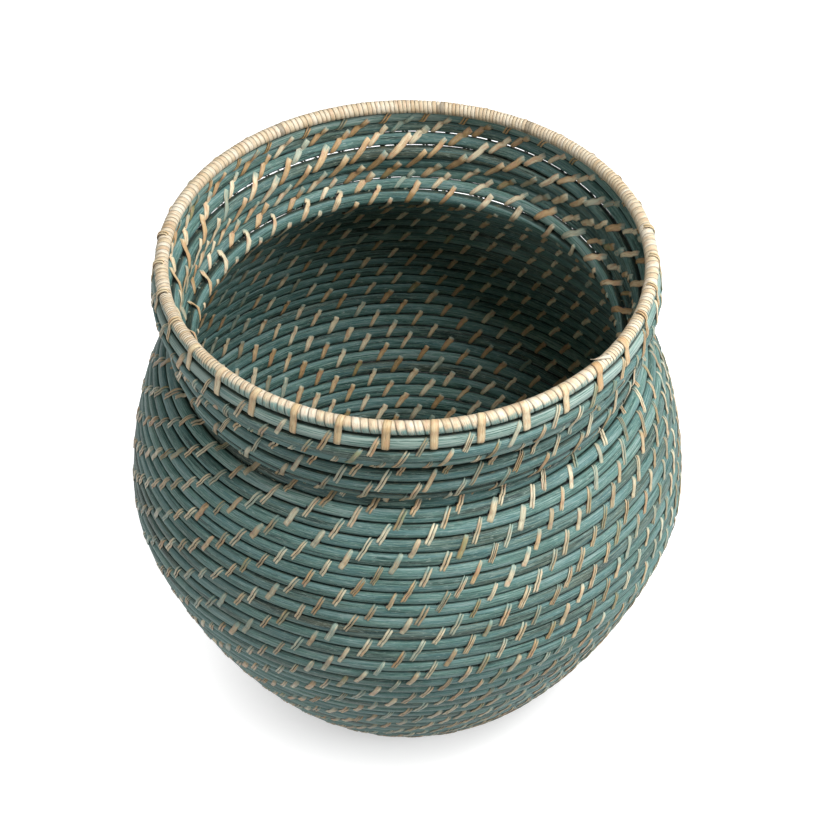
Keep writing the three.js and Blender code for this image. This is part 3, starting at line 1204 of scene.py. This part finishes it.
@dataclass
class Stitches:
    """Cane stitches of one side of the wall, each with a thin black strip of painted shade in the crease beside
    it.

    Attributes:
        name: Start of the names of the pieces.
        path: Course of each stitch.
        hollow_shade: Course of each strip of painted shade.
        slant: How far a stitch leans round the basket.
        collar_slant: The same in the collar.
        lead: How far a stitch starts after its row number, or ends before the next one's.
        slant_spread: Spread of the leans.
        end_limits: Spread, least and most of the degrees by which a free end goes further.
        hollow_shade_width: Greatest width of a strip of painted shade.
        hollow_shade_side: Shares of the stitch's width and of the shade strip's by which it lies to the side.
        rings: Number of rings along a stitch.
        row_bands: Row numbers at which one piece ends and the next begins.
        last: Which of the pair of row numbers has to lie a whole turn before the coil's end.
        seed: Seed of the random values.
    """

    name: str
    path: StitchPath
    hollow_shade: StitchPath
    slant: float
    collar_slant: float
    lead: float
    slant_spread: float
    end_limits: tuple[float, float, float]
    hollow_shade_width: float
    hollow_shade_side: tuple[float, float]
    rings: int
    row_bands: tuple[float, ...]
    last: int
    seed: int
    strip: CaneStrip = CaneStrip()
    shadow: CaneStrip = CaneStrip(thickness=0.16)
    short_turn: float = 250.0
    lead_spread: float = 0.4

    def _slants(
        self, rods: FoundationRods, rows: np.ndarray, span: float, rng: np.random.Generator
    ) -> np.ndarray:
        """How far each stitch leans, less where a turn of the base is short.

        Args:
            rods: The rods that the stitches lie on.
            rows: Row number of each stitch.
            span: Rows over which the lean changes to the collar's.
            rng: Source of the random values.

        Returns:
            Millimetres round the basket.
        """
        lean = blend(self.slant, self.collar_slant, rods.coil.collar_share(rows, span))
        lean = lean + rng.normal(0.0, self.slant_spread, len(rows))
        return lean * np.minimum(1.0, rods.coil.girth_length(rows) / self.short_turn)

    def _ends(self, count: int, rng: np.random.Generator) -> np.ndarray:
        """Degrees by which the free end of each stitch goes further."""
        spread, least, most = self.end_limits
        return np.clip(rng.normal(0.0, spread, count), least, most)

    def _hollow_shades(
        self, rods: FoundationRods, rows: np.ndarray, slant: np.ndarray, width: np.ndarray,
        rng: np.random.Generator,
    ) -> StrandMesh:
        """Painted shade beside the stitches, in the crease where the cane holds the rods apart.

        Args:
            rods: The rods that the stitches lie on.
            rows: Row number of each stitch.
            slant: How far each leans.
            width: Width of each.
            rng: Source of the random values.

        Returns:
            The painted shade, as thin black strips.
        """
        still = np.zeros(len(rows))
        middles, normals = self.hollow_shade.follow(rods, rows, slant, still, still, self.rings, self.path)
        bulge = 0.12 + 0.88 * np.sin(math.pi * np.linspace(0.0, 1.0, self.rings)) ** 0.8
        widths = rng.uniform(0.9, self.hollow_shade_width, (len(rows), 1)) * bulge
        shift = self.hollow_shade_side[0] * width + self.hollow_shade_side[1] * widths.max(1)
        return self.shadow.sweep(middles, normals, widths, shift, strip_tone(0.5, 0.0, 0.0, 1.0, widths.shape))

    def _strands(self, rods: FoundationRods, pairs: np.ndarray, rng: np.random.Generator) -> StrandMesh:
        """Strands of the stitches at pairs of row numbers, where each and the next one starts."""
        raise NotImplementedError

    def build(self, rods: FoundationRods, starts: np.ndarray, material: bpy.types.Material) -> None:
        """Builds the stitches, one piece for each band of rows.

        Args:
            rods: The rods that the stitches lie on.
            starts: Row numbers at which stitches start.
            material: Finish of the cane.
        """
        rng = np.random.default_rng(self.seed)
        pairs = np.stack([starts[:-1], starts[1:]])
        pairs = pairs[:, pairs[self.last] < rods.coil.end - 1.03]
        for number, (low, high) in enumerate(zip(self.row_bands, self.row_bands[1:]), 1):
            band = pairs[:, (pairs[0] >= low) & (pairs[0] < high)]
            piece = self._strands(rods, band, rng).build(f"{self.name}_{number}")
            place_piece(piece, material, [])


@dataclass
class OuterStitches(Stitches):
    """Cane over each row, from the face of the row below, seen on the outside."""

    name: str = "outer_stitches"
    path: StitchPath = StitchPath((
        (0.0, -2.0, -0.55, 1.0), (0.0, 4.0, 0.0, 1.0), (0.0, 12.0, 0.27, 0.9), (0.0, 23.0, 0.36, 0.6),
        (0.0, 36.0, 0.5, 0.2), (0.0, 50.0, 0.74, 0.0), (1.0, -48.0, 0.74, 0.0), (1.0, -26.0, 0.42, 0.0),
        (1.0, 2.0, 0.32, 0.0), (1.0, 30.0, 0.28, 0.0), (1.0, 56.0, 0.2, 0.0), (1.0, 78.0, -0.4, 0.0),
    ), facing=0.0)
    hollow_shade: StitchPath = StitchPath((
        (0.0, 36.0, 0.0, 0.0), (0.0, 58.0, 0.08, 0.0), (0.0, 72.0, 0.1, 0.0),
        (1.0, -72.0, 0.1, 0.0), (1.0, -54.0, 0.06, 0.0), (1.0, -34.0, 0.0, 0.0),
    ), facing=0.0, tightness=0.0)
    slant: float = 6.1
    collar_slant: float = 6.3
    lead: float = 1.4
    slant_spread: float = 0.55
    end_limits: tuple[float, float, float] = (14.0, -30.0, 22.0)
    hollow_shade_width: float = 1.7
    hollow_shade_side: tuple[float, float] = (-0.5, -0.45)
    rings: int = 11
    row_bands: tuple[float, ...] = (0.0, 11.0, 20.0, 28.0, 36.0, 44.0, 60.0)
    last: int = 0
    seed: int = 23
    kind_shares: tuple[float, ...] = (0.3, 0.58, 0.12)
    green_share: float = 0.2
    painted_end: float = 0.14

    def _stain(self, green: np.ndarray, share: np.ndarray, rng: np.random.Generator) -> np.ndarray:
        """Stain on strands: at both ends, all over the green ones, and a little anywhere.

        Args:
            green: Whether each strand is a green one.
            share: Share of the way along of each ring.
            rng: Source of the random values.

        Returns:
            How much of the stain shows, by strand and ring.
        """
        spread = (len(green), 1)
        painted = rng.uniform(0.66, 0.88, spread)
        stain = 0.85 * ramp(share, painted, painted + self.painted_end)
        stain = np.maximum(stain, green[:, None] * rng.uniform(0.35, 0.85, spread))
        stain = np.maximum(stain, rng.uniform(0.0, 0.4, spread))
        return np.maximum(stain, 0.7 * ramp(share, 0.16, 0.06))

    def _strands(self, rods: FoundationRods, pairs: np.ndarray, rng: np.random.Generator) -> StrandMesh:
        """Strands of the stitches that start at the first row of each pair.

        Args:
            rods: The rods that the stitches lie on.
            pairs: Row numbers where each stitch and the next one start.
            rng: Source of the random values.

        Returns:
            The strands, whole or split, with their strips of painted shade.
        """
        rows, coil = pairs[0], rods.coil
        count = len(rows)
        kinds = rng.choice(list(Strip), count, p=self.kind_shares)
        chance = np.clip(rng.beta(1.8, 2.0, count), 0, 1)
        green = rng.random(count) < self.green_share
        lean = self._slants(rods, rows, 4.0, rng)
        reach = self._ends(count, rng)
        size = rng.uniform(0.86, 1.2, count)
        strands = np.array([(index, *strand) for index, kind in enumerate(kinds) for strand in kind.value])
        owner, total = strands[:, 0].astype(int), len(strands)
        width = strands[:, 1] * size[owner] * rng.uniform(0.92, 1.08, total)
        shift = strands[:, 2] * size[owner] + rng.normal(0.0, 0.05, total)
        start = rows + (self.lead + rng.normal(0.0, self.lead_spread, count)) / coil.girth_length(rows)
        slant = lean[owner] + rng.normal(0.0, 0.16, total)
        ends = reach[owner] + rng.normal(0.0, 3.0, total)
        dip = rng.uniform(0.0, 0.08, total) + 0.3 * (1 - coil.wall_share(rows)[owner])
        middles, normals = self.path.follow(rods, start[owner], slant, ends, dip, self.rings)
        share = np.linspace(0.0, 1.0, self.rings)
        point = rng.uniform(0.45, 0.9, (total, 1))
        widths = width[:, None] * (1.0 - (1.0 - point) * ramp(share, 0.8, 1.0))
        stain = self._stain(green[owner], share, rng)
        shade = 0.8 * ramp(share, 0.1, 0.0) + 0.2 * np.exp(-(((share - 0.5) / 0.07) ** 2))
        tints = np.clip(chance[owner] + rng.normal(0.0, 0.07, total), 0, 1)[:, None]
        tone = strip_tone(tints, shade, stain, 0.0, widths.shape)
        mesh = self.strip.sweep(middles, normals, widths, shift, tone)
        whole_width = np.full(count, Strip.WHOLE.value[0][0])
        return mesh.joined(self._hollow_shades(rods, start, lean, whole_width, rng))


@dataclass
class InnerStitches(Stitches):
    """Cane down the inside, from the face of one row over the row below it."""

    name: str = "inner_stitches"
    path: StitchPath = StitchPath((
        (1.0, 186.0, -0.4, 1.0), (1.0, 191.0, 0.12, 1.0), (1.0, 200.0, 0.32, 0.8), (1.0, 214.0, 0.44, 0.4),
        (1.0, 230.0, 0.74, 0.0), (0.0, 130.0, 0.74, 0.0), (0.0, 152.0, 0.42, 0.0), (0.0, 180.0, 0.34, 0.0),
        (0.0, 212.0, 0.34, 0.0), (0.0, 242.0, 0.26, 0.0), (0.0, 268.0, -0.3, 0.0),
    ), facing=180.0)
    hollow_shade: StitchPath = StitchPath((
        (1.0, 212.0, 0.0, 0.0), (1.0, 236.0, 0.08, 0.0), (1.0, 252.0, 0.1, 0.0),
        (0.0, 108.0, 0.1, 0.0), (0.0, 126.0, 0.08, 0.0), (0.0, 148.0, 0.0, 0.0),
    ), facing=180.0, tightness=0.0)
    slant: float = 5.6
    collar_slant: float = 8.6
    lead: float = 0.6
    slant_spread: float = 0.5
    end_limits: tuple[float, float, float] = (8.0, -16.0, 12.0)
    hollow_shade_width: float = 1.6
    hollow_shade_side: tuple[float, float] = (0.45, 0.4)
    rings: int = 12
    row_bands: tuple[float, ...] = (0.0, 24.0, 44.0, 60.0)
    last: int = 1
    seed: int = 37
    width: float = 3.1
    collar_width: float = 3.6
    collar_reach: float = -24.0
    green_share: float = 0.12

    def _strands(self, rods: FoundationRods, pairs: np.ndarray, rng: np.random.Generator) -> StrandMesh:
        """Strands that end just before the second row of each pair.

        Args:
            rods: The rods that the stitches lie on.
            pairs: Row numbers where each stitch and the next one start.
            rng: Source of the random values.

        Returns:
            The strands, with their strips of painted shade.
        """
        rows, following = pairs
        count = len(rows)
        spread = (count, 1)
        collar = rods.coil.collar_share(rows, 1.5)
        slant = self._slants(rods, rows, 1.5, rng)
        back = self.lead + slant + rng.normal(0.0, self.lead_spread, count)
        start = following - back / rods.coil.girth_length(rows)
        reach = self.collar_reach * collar + self._ends(count, rng)
        middles, normals = self.path.follow(rods, start, slant, reach, np.zeros(count), self.rings)
        width = blend(self.width, self.collar_width, collar) * rng.uniform(0.78, 1.12, count)
        share = np.linspace(0.0, 1.0, self.rings)
        widths = width[:, None] * (1.0 - 0.35 * ramp(share, 0.5, 1.0))
        chance = np.clip(rng.beta(1.7, 2.3, count), 0, 1)[:, None] * (0.5 + 0.5 * ramp(share, 0.0, 0.4))
        green = (rng.random(spread) < self.green_share) * rng.uniform(0.4, 0.9, spread)
        painted = rng.uniform(0.08, 0.3, spread)
        stain = np.maximum(green, 0.8 * ramp(share, painted, painted - 0.1))
        shade = 0.7 * ramp(share, 0.86, 1.0) + 0.3 * ramp(share, 0.06, 0.0)
        tone = strip_tone(chance, shade, stain, 0.0, widths.shape)
        mesh = self.strip.sweep(middles, normals, widths, np.zeros(count), tone)
        return mesh.joined(self._hollow_shades(rods, start, slant, width, rng))


# ---------------------------------------------------------------------------------------------
# The rim
# ---------------------------------------------------------------------------------------------


@dataclass
class RimWrapping:
    """Cane wound round the hoop, in three strips that meet end to end.

    Attributes:
        strips: Name of each strip, with the degrees where it starts and ends.
        turn_widths: Degrees round the basket, with the width of a turn there.
        seams: Degrees where a strip is pieced.
        loose_end: Degrees round the basket and round the hoop, and lift, of the loose end's places.
        brushed_at: Degrees where the stain goes furthest over the wrapping.
    """

    strips: tuple[tuple[str, float, float], ...] = (
        ("right", 49.0, 180.0), ("left", 180.0, 284.0), ("front", 284.0, 409.0)
    )
    turn_widths: tuple[tuple[float, float], ...] = (
        (49.0, 2.0), (72.0, 1.9), (76.0, 4.2), (104.0, 4.4), (110.0, 2.4), (150.0, 1.9), (180.0, 2.4),
        (200.0, 2.8), (283.0, 2.9), (284.0, 1.3), (305.0, 1.5), (318.0, 2.6), (330.0, 4.3), (409.0, 4.7),
    )
    seams: tuple[float, ...] = (148.0, 171.0, 213.0)
    loose_end: tuple[tuple[float, float, float], ...] = (
        (51.6, 58.0, 0.05), (50.7, 76.0, 0.22), (49.7, 96.0, 0.3),
        (48.7, 114.0, 0.5), (48.1, 128.0, 1.0), (47.7, 140.0, 1.7),
    )
    loose_rings: int = 16
    rings_per_turn: int = 22
    hoop_rings: int = 181
    hoop_sides: int = 8
    gap: float = 0.2
    end_gap: float = 0.66
    uneven: float = 0.035
    brushed_at: float = 318.0
    strip: CaneStrip = CaneStrip(
        thickness=0.75,
        outline=((-0.49, -0.5), (0.49, -0.5), (0.5, 0.2), (0.36, 0.45), (-0.36, 0.45), (-0.5, 0.2)),
        edge_shade=(0.85, 0.85, 0.5, 0.0, 0.0, 0.5),
        edge_stain=(0.5, 0.5, 0.4, 0.0, 0.0, 0.4),
    )
    loose_strip: CaneStrip = CaneStrip(edge_shade=(0.9, 0.9, 0.8, 0.0, 0.0, 0.8))
    seed: int = 41

    def _turns(
        self, coil: CoilPath, start: float, end: float, rng: np.random.Generator
    ) -> tuple[np.ndarray, np.ndarray]:
        """Lays out the turns of one strip.

        Args:
            coil: The rod's law, with the rim's place.
            start: Degrees round the basket where the strip starts.
            end: Degrees where it ends.
            rng: Source of the random values.

        Returns:
            Degrees at which the turns begin, and the width of each.
        """
        places, widths = [start], []
        while places[-1] < end:
            width = float(np.interp(places[-1], *np.array(self.turn_widths).T)) * rng.uniform(0.88, 1.12)
            widths.append(width)
            places.append(places[-1] + math.degrees(width / coil.rim_point[0]))
        fit = (end - start) / (places[-1] - start)
        return start + (np.array(places) - start) * fit, np.array(widths) * fit

    def _strand(self, coil: CoilPath, start: float, end: float, rng: np.random.Generator) -> StrandMesh:
        """One strip wound round the hoop.

        Args:
            coil: The rod's law, with the rim's place.
            start: Degrees round the basket where the strip starts.
            end: Degrees where it ends.
            rng: Source of the random values.

        Returns:
            The strip, as one long strand.
        """
        places, turn_widths = self._turns(coil, start, end, rng)
        turns = len(turn_widths)
        wind = np.linspace(0.0, turns, turns * self.rings_per_turn + 1)
        widths = np.interp(wind, np.arange(turns) + 0.5, turn_widths) - self.gap
        margin = self.end_gap / coil.rim_point[0]
        place = np.radians(np.interp(wind, np.arange(turns + 1), places))
        place = np.clip(place, math.radians(start) + margin, math.radians(end) - margin)
        turn = -math.pi / 2 - FULL_TURN * wind
        lift = self.uneven * rng.normal(0.0, 1.0, turns + 1)
        reach = coil.wrap_reach - coil.cane_thickness / 2 + np.interp(wind, np.arange(turns + 1), lift)
        middles, normal = coil.on_rim(place, turn, reach)
        each = np.minimum(wind.astype(int), turns - 1)
        chance = np.clip(rng.normal(0.3, 0.14, turns), 0, 1)[each]
        degrees = np.degrees(place) % 360.0
        seam = np.abs(degrees[:, None] - np.array(self.seams)).min(1) < 0.9
        edge = 0.42 - 0.3 * np.exp(-(((degrees - self.brushed_at) / 24.0) ** 2))
        edge = edge - 0.13 * rng.normal(0.0, 1.0, turns)[each]
        stain = 0.95 * ramp(np.cos(turn + math.radians(35.0)), edge, edge + 0.3)
        # Darker at the seams where the strips are pieced, and painted shade on the inner side of the hoop.
        shade = 0.45 * seam + 0.12 * ramp(np.cos(turn - math.radians(170.0)), 0.3, 0.8)
        tone = strip_tone(chance, shade, stain, 0.0, (1, len(wind)))
        mesh = self.strip.sweep(middles[None], normal[None], widths[None], np.zeros(1), tone)
        mesh.cell_margin = 0.01
        return mesh

    def _loose_end(self, coil: CoilPath) -> StrandMesh:
        """Loose end of the right strip, laid along the crown and curled up over the mouth.

        Args:
            coil: The rod's law, with the rim's place.

        Returns:
            The loose end.
        """
        angle, turn, lift = np.array(self.loose_end).T
        lines = coil.on_rim(np.radians(angle), np.radians(turn), coil.wrap_reach + lift)
        weights = spline_weights(len(angle), self.loose_rings)
        middles, normals = ((weights @ line)[None] for line in lines)
        share = np.linspace(0.0, 1.0, self.loose_rings)
        widths = blend(2.5, 0.6, ramp(share, 0.5, 0.8))[None]
        tone = strip_tone(0.12, 0.1, 0.0, 0.0, widths.shape)
        return self.loose_strip.sweep(middles, normals, widths, np.zeros(1), tone)

    def _hoop(self, coil: CoilPath) -> StrandMesh:
        """Round rod inside the wrapping.

        Args:
            coil: The rod's law, with the rim's place.

        Returns:
            The hoop, whose two ends meet.
        """
        angle = np.linspace(0.0, FULL_TURN, self.hoop_rings)
        turn = FULL_TURN * np.arange(self.hoop_sides) / self.hoop_sides
        grid = np.broadcast_arrays(angle[:, None], turn[None])
        points, _ = coil.on_rim(*grid, np.full(grid[0].shape, coil.hoop_diameter / 2))
        around = np.arange(self.hoop_sides + 1) * (math.pi * coil.hoop_diameter / self.hoop_sides)
        tone = np.full((1, *grid[0].shape, 4), 0.5)
        return StrandMesh(points[None], angle[None] * coil.rim_point[0], around[None], tone)

    def build(self, coil: CoilPath, material: bpy.types.Material, hoop_material: bpy.types.Material) -> None:
        """Builds the hoop, the three strips round it and the loose end.

        Args:
            coil: The rod's law, with the rim's place.
            material: Finish of the cane.
            hoop_material: Finish of the hoop.
        """
        place_piece(self._hoop(coil).build("rim_core"), hoop_material, ["rim_hoop"])
        rng = np.random.default_rng(self.seed)
        for side, start, end in self.strips:
            piece = self._strand(coil, start, end, rng).build(f"rim_binding_{side}")
            place_piece(piece, material, [f"rim_wrap_{side}"])
        place_piece(self._loose_end(coil).build("rim_loose_end"), material, [])


@dataclass
class RimLashings:
    """Cane that ties the rim to the top row, thirty-five passes.

    Attributes:
        count: Number of passes.
        start: Degrees of the first one.
        back: Degrees between which only the outside of the rim is crossed.
        thin: Degrees between which a pass is two thin, loose strands.
        over: Degrees round the hoop and lift, of a pass over the rim.
        over_back: The same at the back.
        down: Degrees round the top rod and lift, of a pass down its outside.
        inside: The same on its inside.
        parts: Width and sideways shift of the strands of a whole pass.
        thin_parts: The same of a thin one.
        inner_parts: The same on the inside.
    """

    count: int = 35
    start: float = -4.5
    back: tuple[float, float] = (100.0, 262.0)
    thin: tuple[tuple[float, float], ...] = ((60.0, 100.0), (262.0, 297.0))
    over: tuple[tuple[float, float], ...] = (
        (118.0, -0.45), (110.0, 0.05), (95.0, 0.36), (70.0, 0.42), (44.0, 0.42), (14.0, 0.4), (-16.0, 0.36)
    )
    over_back: tuple[tuple[float, float], ...] = (
        (34.0, -0.45), (28.0, 0.0), (18.0, 0.26), (6.0, 0.36), (-6.0, 0.38), (-16.0, 0.36)
    )
    down: tuple[tuple[float, float], ...] = ((12.0, 0.34), (-16.0, 0.32), (-46.0, 0.26), (-74.0, -0.2))
    inside: tuple[tuple[float, float], ...] = (
        (104.0, -0.2), (126.0, 0.3), (152.0, 0.36), (180.0, 0.36), (210.0, 0.36), (240.0, 0.28), (264.0, -0.3)
    )
    parts: tuple[tuple[float, float], ...] = ((4.0, 0.0),)
    thin_parts: tuple[tuple[float, float], ...] = ((1.15, -0.85), (1.05, 0.75))
    inner_parts: tuple[tuple[float, float], ...] = ((1.2, -0.8), (1.1, 0.75))
    rings: int = 18
    strip: CaneStrip = CaneStrip(thickness=0.6, edge_shade=(0.8, 0.8, 0.5, 0.0, 0.0, 0.5))
    seed: int = 53

    @staticmethod
    def _row(coil: CoilPath, angle: np.ndarray) -> np.ndarray:
        """Row numbers of the topmost rod at angles in degrees."""
        row = (angle - coil.climb_centre) / 360.0 - 0.5
        return row + np.ceil(coil.end - 1.0 - row)

    def _outer(
        self, rods: FoundationRods, angle: float, slant: float, loop: float
    ) -> tuple[np.ndarray, np.ndarray]:
        """Middles and normals of a pass over the rim and down to the crease under the top row.

        Args:
            rods: The rods that the cane lies on.
            angle: Degrees round the basket.
            slant: How far the pass leans, in millimetres.
            loop: How far it stands off the rim.

        Returns:
            Middles and normals. The pass starts on the crown of the rim, or outside it at the back.
        """
        coil = rods.coil
        behind = self.back[0] < angle % 360.0 < self.back[1]
        turn, lift = np.array(self.over_back if behind else self.over).T
        swing = np.sin(np.linspace(0.0, math.pi, len(turn))) * loop
        place = math.radians(angle) + slant * np.linspace(0.5, -0.1, len(turn)) / coil.rim_point[0]
        rim_lines = coil.on_rim(place, np.radians(turn), coil.wrap_reach + lift + swing)
        turn, lift = np.array(self.down).T
        turn = np.radians(turn)
        rows = self._row(coil, angle + np.degrees(slant * np.linspace(-0.2, -0.5, len(turn)) / coil.rim_point[0]))
        low_places, planes = rods.surface(rows, turn, lift + loop * 0.3)
        lines = zip(rim_lines, (low_places, planes.facing(turn * 0.5)))
        middles, normals = (np.concatenate(pair) for pair in lines)
        weights = spline_weights(len(middles), self.rings)
        return weights @ middles, weights @ normals

    def _inner(self, rods: FoundationRods, angle: float, slant: float) -> tuple[np.ndarray, np.ndarray]:
        """The same pass on the inner side of the top row.

        Args:
            rods: The rods that the cane lies on.
            angle: Degrees round the basket.
            slant: How far the pass leans, in millimetres.

        Returns:
            Middles and normals.
        """
        turn, lift = np.array(self.inside).T
        turn = np.radians(turn)
        lean = slant * np.linspace(-0.5, 0.5, len(turn)) / rods.coil.rim_point[0]
        places, planes = rods.surface(self._row(rods.coil, angle + np.degrees(lean)), turn, lift)
        weights = spline_weights(len(turn), self.rings)
        return weights @ places, weights @ planes.facing(math.pi + (turn - math.pi) * 0.6)

    def _pass(self, rods: FoundationRods, angle: float, rng: np.random.Generator) -> StrandMesh:
        """All the strands of one pass.

        Args:
            rods: The rods that the cane lies on.
            angle: Degrees round the basket.
            rng: Source of the random values.

        Returns:
            The strands outside and inside.
        """
        share = np.linspace(0.0, 1.0, self.rings)
        loose = any(low < angle % 360.0 < high for low, high in self.thin)
        loop = rng.uniform(0.1, 0.7) if loose else 0.0
        outer = self._outer(rods, angle, rng.normal(1.6, 0.5), loop)
        inner = self._inner(rods, angle + rng.normal(5.2, 0.4), rng.normal(6.6, 0.8))
        lines = [(*outer, *part, 0.4) for part in (self.thin_parts if loose else self.parts)]
        lines += [(*inner, *part, 0.75) for part in self.inner_parts]
        middles, normals, widths, shift, tint = (np.stack(parts) for parts in zip(*lines))
        widths = widths[:, None] * rng.uniform(0.92, 1.08, (len(lines), 1))
        widths = widths * (0.88 + 0.12 * np.sin(math.pi * share))
        chance = np.clip(rng.normal(tint, 0.12), 0, 1)[:, None]
        shade = 0.6 * ramp(share, 0.93, 1.0) + 0.3 * ramp(share, 0.05, 0.0)
        tone = strip_tone(chance, shade, (rng.random() < 0.1) * 0.5, 0.0, widths.shape)
        return self.strip.sweep(middles, normals, widths, shift, tone)

    def build(self, rods: FoundationRods, material: bpy.types.Material) -> None:
        """Builds the passes, one piece each, and sets each apart in the pattern of fibres.

        Args:
            rods: The rods that the cane lies on.
            material: Finish of the cane.
        """
        rng = np.random.default_rng(self.seed)
        for number in range(self.count):
            mesh = self._pass(rods, self.start + 360.0 * number / self.count, rng)
            mesh.along = mesh.along + number * 97.0
            piece = mesh.build(f"rim_tie_{number + 1:02d}")
            place_piece(piece, material, [f"rim_lashing_{number + 1:02d}"])


# ---------------------------------------------------------------------------------------------
# The studio
# ---------------------------------------------------------------------------------------------


@dataclass(frozen=True)
class Lamp:
    """A square soft light, aimed at the middle of the basket."""

    name: str
    place: tuple[float, float, float]
    power: float
    size: float


@dataclass
class Studio:
    """Pale floor, soft lights and the camera, in metres.

    Attributes:
        floor_white: How pale the floor is to the camera.
        floor_bounce: How pale it is to the light that it throws back on the basket.
        floor_lift: Glow that brings its lit part to white.
        painted_shadow_reach: How near the basket the glow fades, which paints a soft contact shadow.
        painted_shadow_glow: What is left of the glow right beside it, in the painted contact shadow.
    """

    camera_place: tuple[float, float, float] = (0.0, -1.0528, 1.1885)
    camera_target: tuple[float, float, float] = (0.006825, 0.0, 0.16641)
    lens: float = 116.26
    sensor: float = 36.0
    dome: float = 0.06
    lamps: list[Lamp] = field(default_factory=lambda: [
        Lamp("overhead_light", (0.7, -0.4, 2.0), 43.0, 0.9),
        Lamp("side_light", (1.8, -0.6, 0.8), 26.0, 0.9),
        Lamp("fill_light", (-1.4, -1.2, 0.75), 11.5, 1.0),
    ])
    aim: tuple[float, float, float] = (0.0, 0.0, 0.16)
    floor_half: float = 3.0
    floor_level: float = -0.0002
    floor_white: float = 0.5
    floor_bounce: float = 0.16
    floor_lift: float = 1.05
    painted_shadow_reach: float = 0.06
    painted_shadow_glow: float = 0.36

    def _floor_material(self) -> bpy.types.Material:
        """Floor that shows white to the camera where no shadow falls on it, and plain elsewhere. Near the basket
        its glow fades into a painted contact shadow.
        """
        graph = Graph("pale_floor")
        white, plain = (
            graph.node("ShaderNodeBsdfDiffuse", {}, {"Color": (shade, shade, shade, 1.0)})
            for shade in (self.floor_white, self.floor_bounce)
        )
        # Painted shadow: the glow fades where the basket is near, a soft contact shadow.
        near = graph.node("ShaderNodeAmbientOcclusion", {"samples": 12}, {"Distance": self.painted_shadow_reach})
        clear = Signal(graph, near.outputs["AO"]).ramp(0.0, 0.8)
        lit = graph.mix(clear, (*[self.painted_shadow_glow] * 3, 1.0), (1.0, 1.0, 1.0, 1.0))
        glow = graph.node("ShaderNodeEmission", {}, {"Color": lit, "Strength": self.floor_lift})
        lifted = graph.node("ShaderNodeAddShader", {}, {0: white.outputs[0], 1: glow.outputs[0]})
        rays = graph.node("ShaderNodeLightPath", {}, {})
        camera, glossy = (Signal(graph, rays.outputs[f"Is {kind} Ray"]) for kind in ("Camera", "Glossy"))
        seen = (camera + glossy).ramp(0.0, 1.0)
        both = graph.node("ShaderNodeMixShader", {}, {0: seen, 1: plain.outputs[0], 2: lifted.outputs[0]})
        graph.tree.links.new(both.outputs[0], graph.output.inputs["Surface"])
        return graph.material

    def _floor(self) -> None:
        """Large flat floor, just under the basket."""
        mesh = bpy.data.meshes.new("floor")
        signs = ((-1, -1), (1, -1), (1, 1), (-1, 1))
        corners = [(x * self.floor_half, y * self.floor_half, self.floor_level) for x, y in signs]
        mesh.from_pydata(corners, [], [(0, 1, 2, 3)])
        mesh.materials.append(self._floor_material())
        floor = bpy.data.objects.new("floor", mesh)
        bpy.context.scene.collection.objects.link(floor)

    def _world(self) -> None:
        """Soft white dome, which shows as plain white behind the object."""
        world = bpy.data.worlds.new("dome")
        world.use_nodes = True
        nodes, links = world.node_tree.nodes, world.node_tree.links
        nodes.clear()
        output = nodes.new("ShaderNodeOutputWorld")
        mixed = nodes.new("ShaderNodeMixShader")
        rays = nodes.new("ShaderNodeLightPath")
        for index, strength in ((1, self.dome), (2, 1.0)):
            sky = nodes.new("ShaderNodeBackground")
            sky.inputs["Color"].default_value = (1.0, 1.0, 1.0, 1.0)
            sky.inputs["Strength"].default_value = strength
            links.new(sky.outputs[0], mixed.inputs[index])
        links.new(rays.outputs["Is Camera Ray"], mixed.inputs[0])
        links.new(mixed.outputs[0], output.inputs["Surface"])
        bpy.context.scene.world = world

    @staticmethod
    def _aimed(thing: bpy.types.Object, place: tuple, target: tuple) -> None:
        """Puts a light or camera at a place and turns it to a target.

        Args:
            thing: The light or camera.
            place: Where it stands.
            target: What it points at.
        """
        thing.location = place
        thing.rotation_euler = (Vector(target) - Vector(place)).to_track_quat("-Z", "Y").to_euler()
        bpy.context.scene.collection.objects.link(thing)

    def build(self) -> None:
        """Builds the floor, lights and camera."""
        self._floor()
        self._world()
        for lamp in self.lamps:
            light = bpy.data.lights.new(lamp.name, "AREA")
            light.energy = lamp.power
            light.size = lamp.size
            self._aimed(bpy.data.objects.new(lamp.name, light), lamp.place, self.aim)
        lens = bpy.data.cameras.new("camera")
        lens.lens = self.lens
        lens.sensor_width = self.sensor
        camera = bpy.data.objects.new("camera", lens)
        self._aimed(camera, self.camera_place, self.camera_target)
        bpy.context.scene.camera = camera
        bpy.context.scene.view_settings.view_transform = "Standard"


def main() -> None:
    """Builds and dresses the basket, then the studio."""
    logging.basicConfig(level=logging.INFO, format="%(name)s: %(message)s")
    coil = CoilPath()
    rods = FoundationRods(coil)
    starts = StitchRhythm().rows(coil)
    LOG.info("coil: %d wall rows, pitch %.2f mm, %d stitches", coil.wall_rows, coil.pitch, len(starts))
    rattan = StainedRattan().material()
    stitch_cane = SplitCane("stitch_cane").material()
    rim_cane = SplitCane(
        "rim_cane", pale="#f0e5cf", tan="#dfcba8", brown="#c8a981", olive="#b8ae8e", blush="#e0c0a4", variety=0.6
    ).material()
    lashing_cane = SplitCane(
        "lashing_cane", pale="#eddfbd", tan="#dcc296", brown="#c49c6a", olive="#948b60", blush="#ddb692"
    ).material()
    rods.build(rattan)
    OuterStitches().build(rods, starts, stitch_cane)
    InnerStitches().build(rods, starts, stitch_cane)
    RimWrapping().build(coil, rim_cane, HoopRattan().material())
    RimLashings().build(rods, lashing_cane)
    Studio().build()


if __name__ == "__main__":
    main()
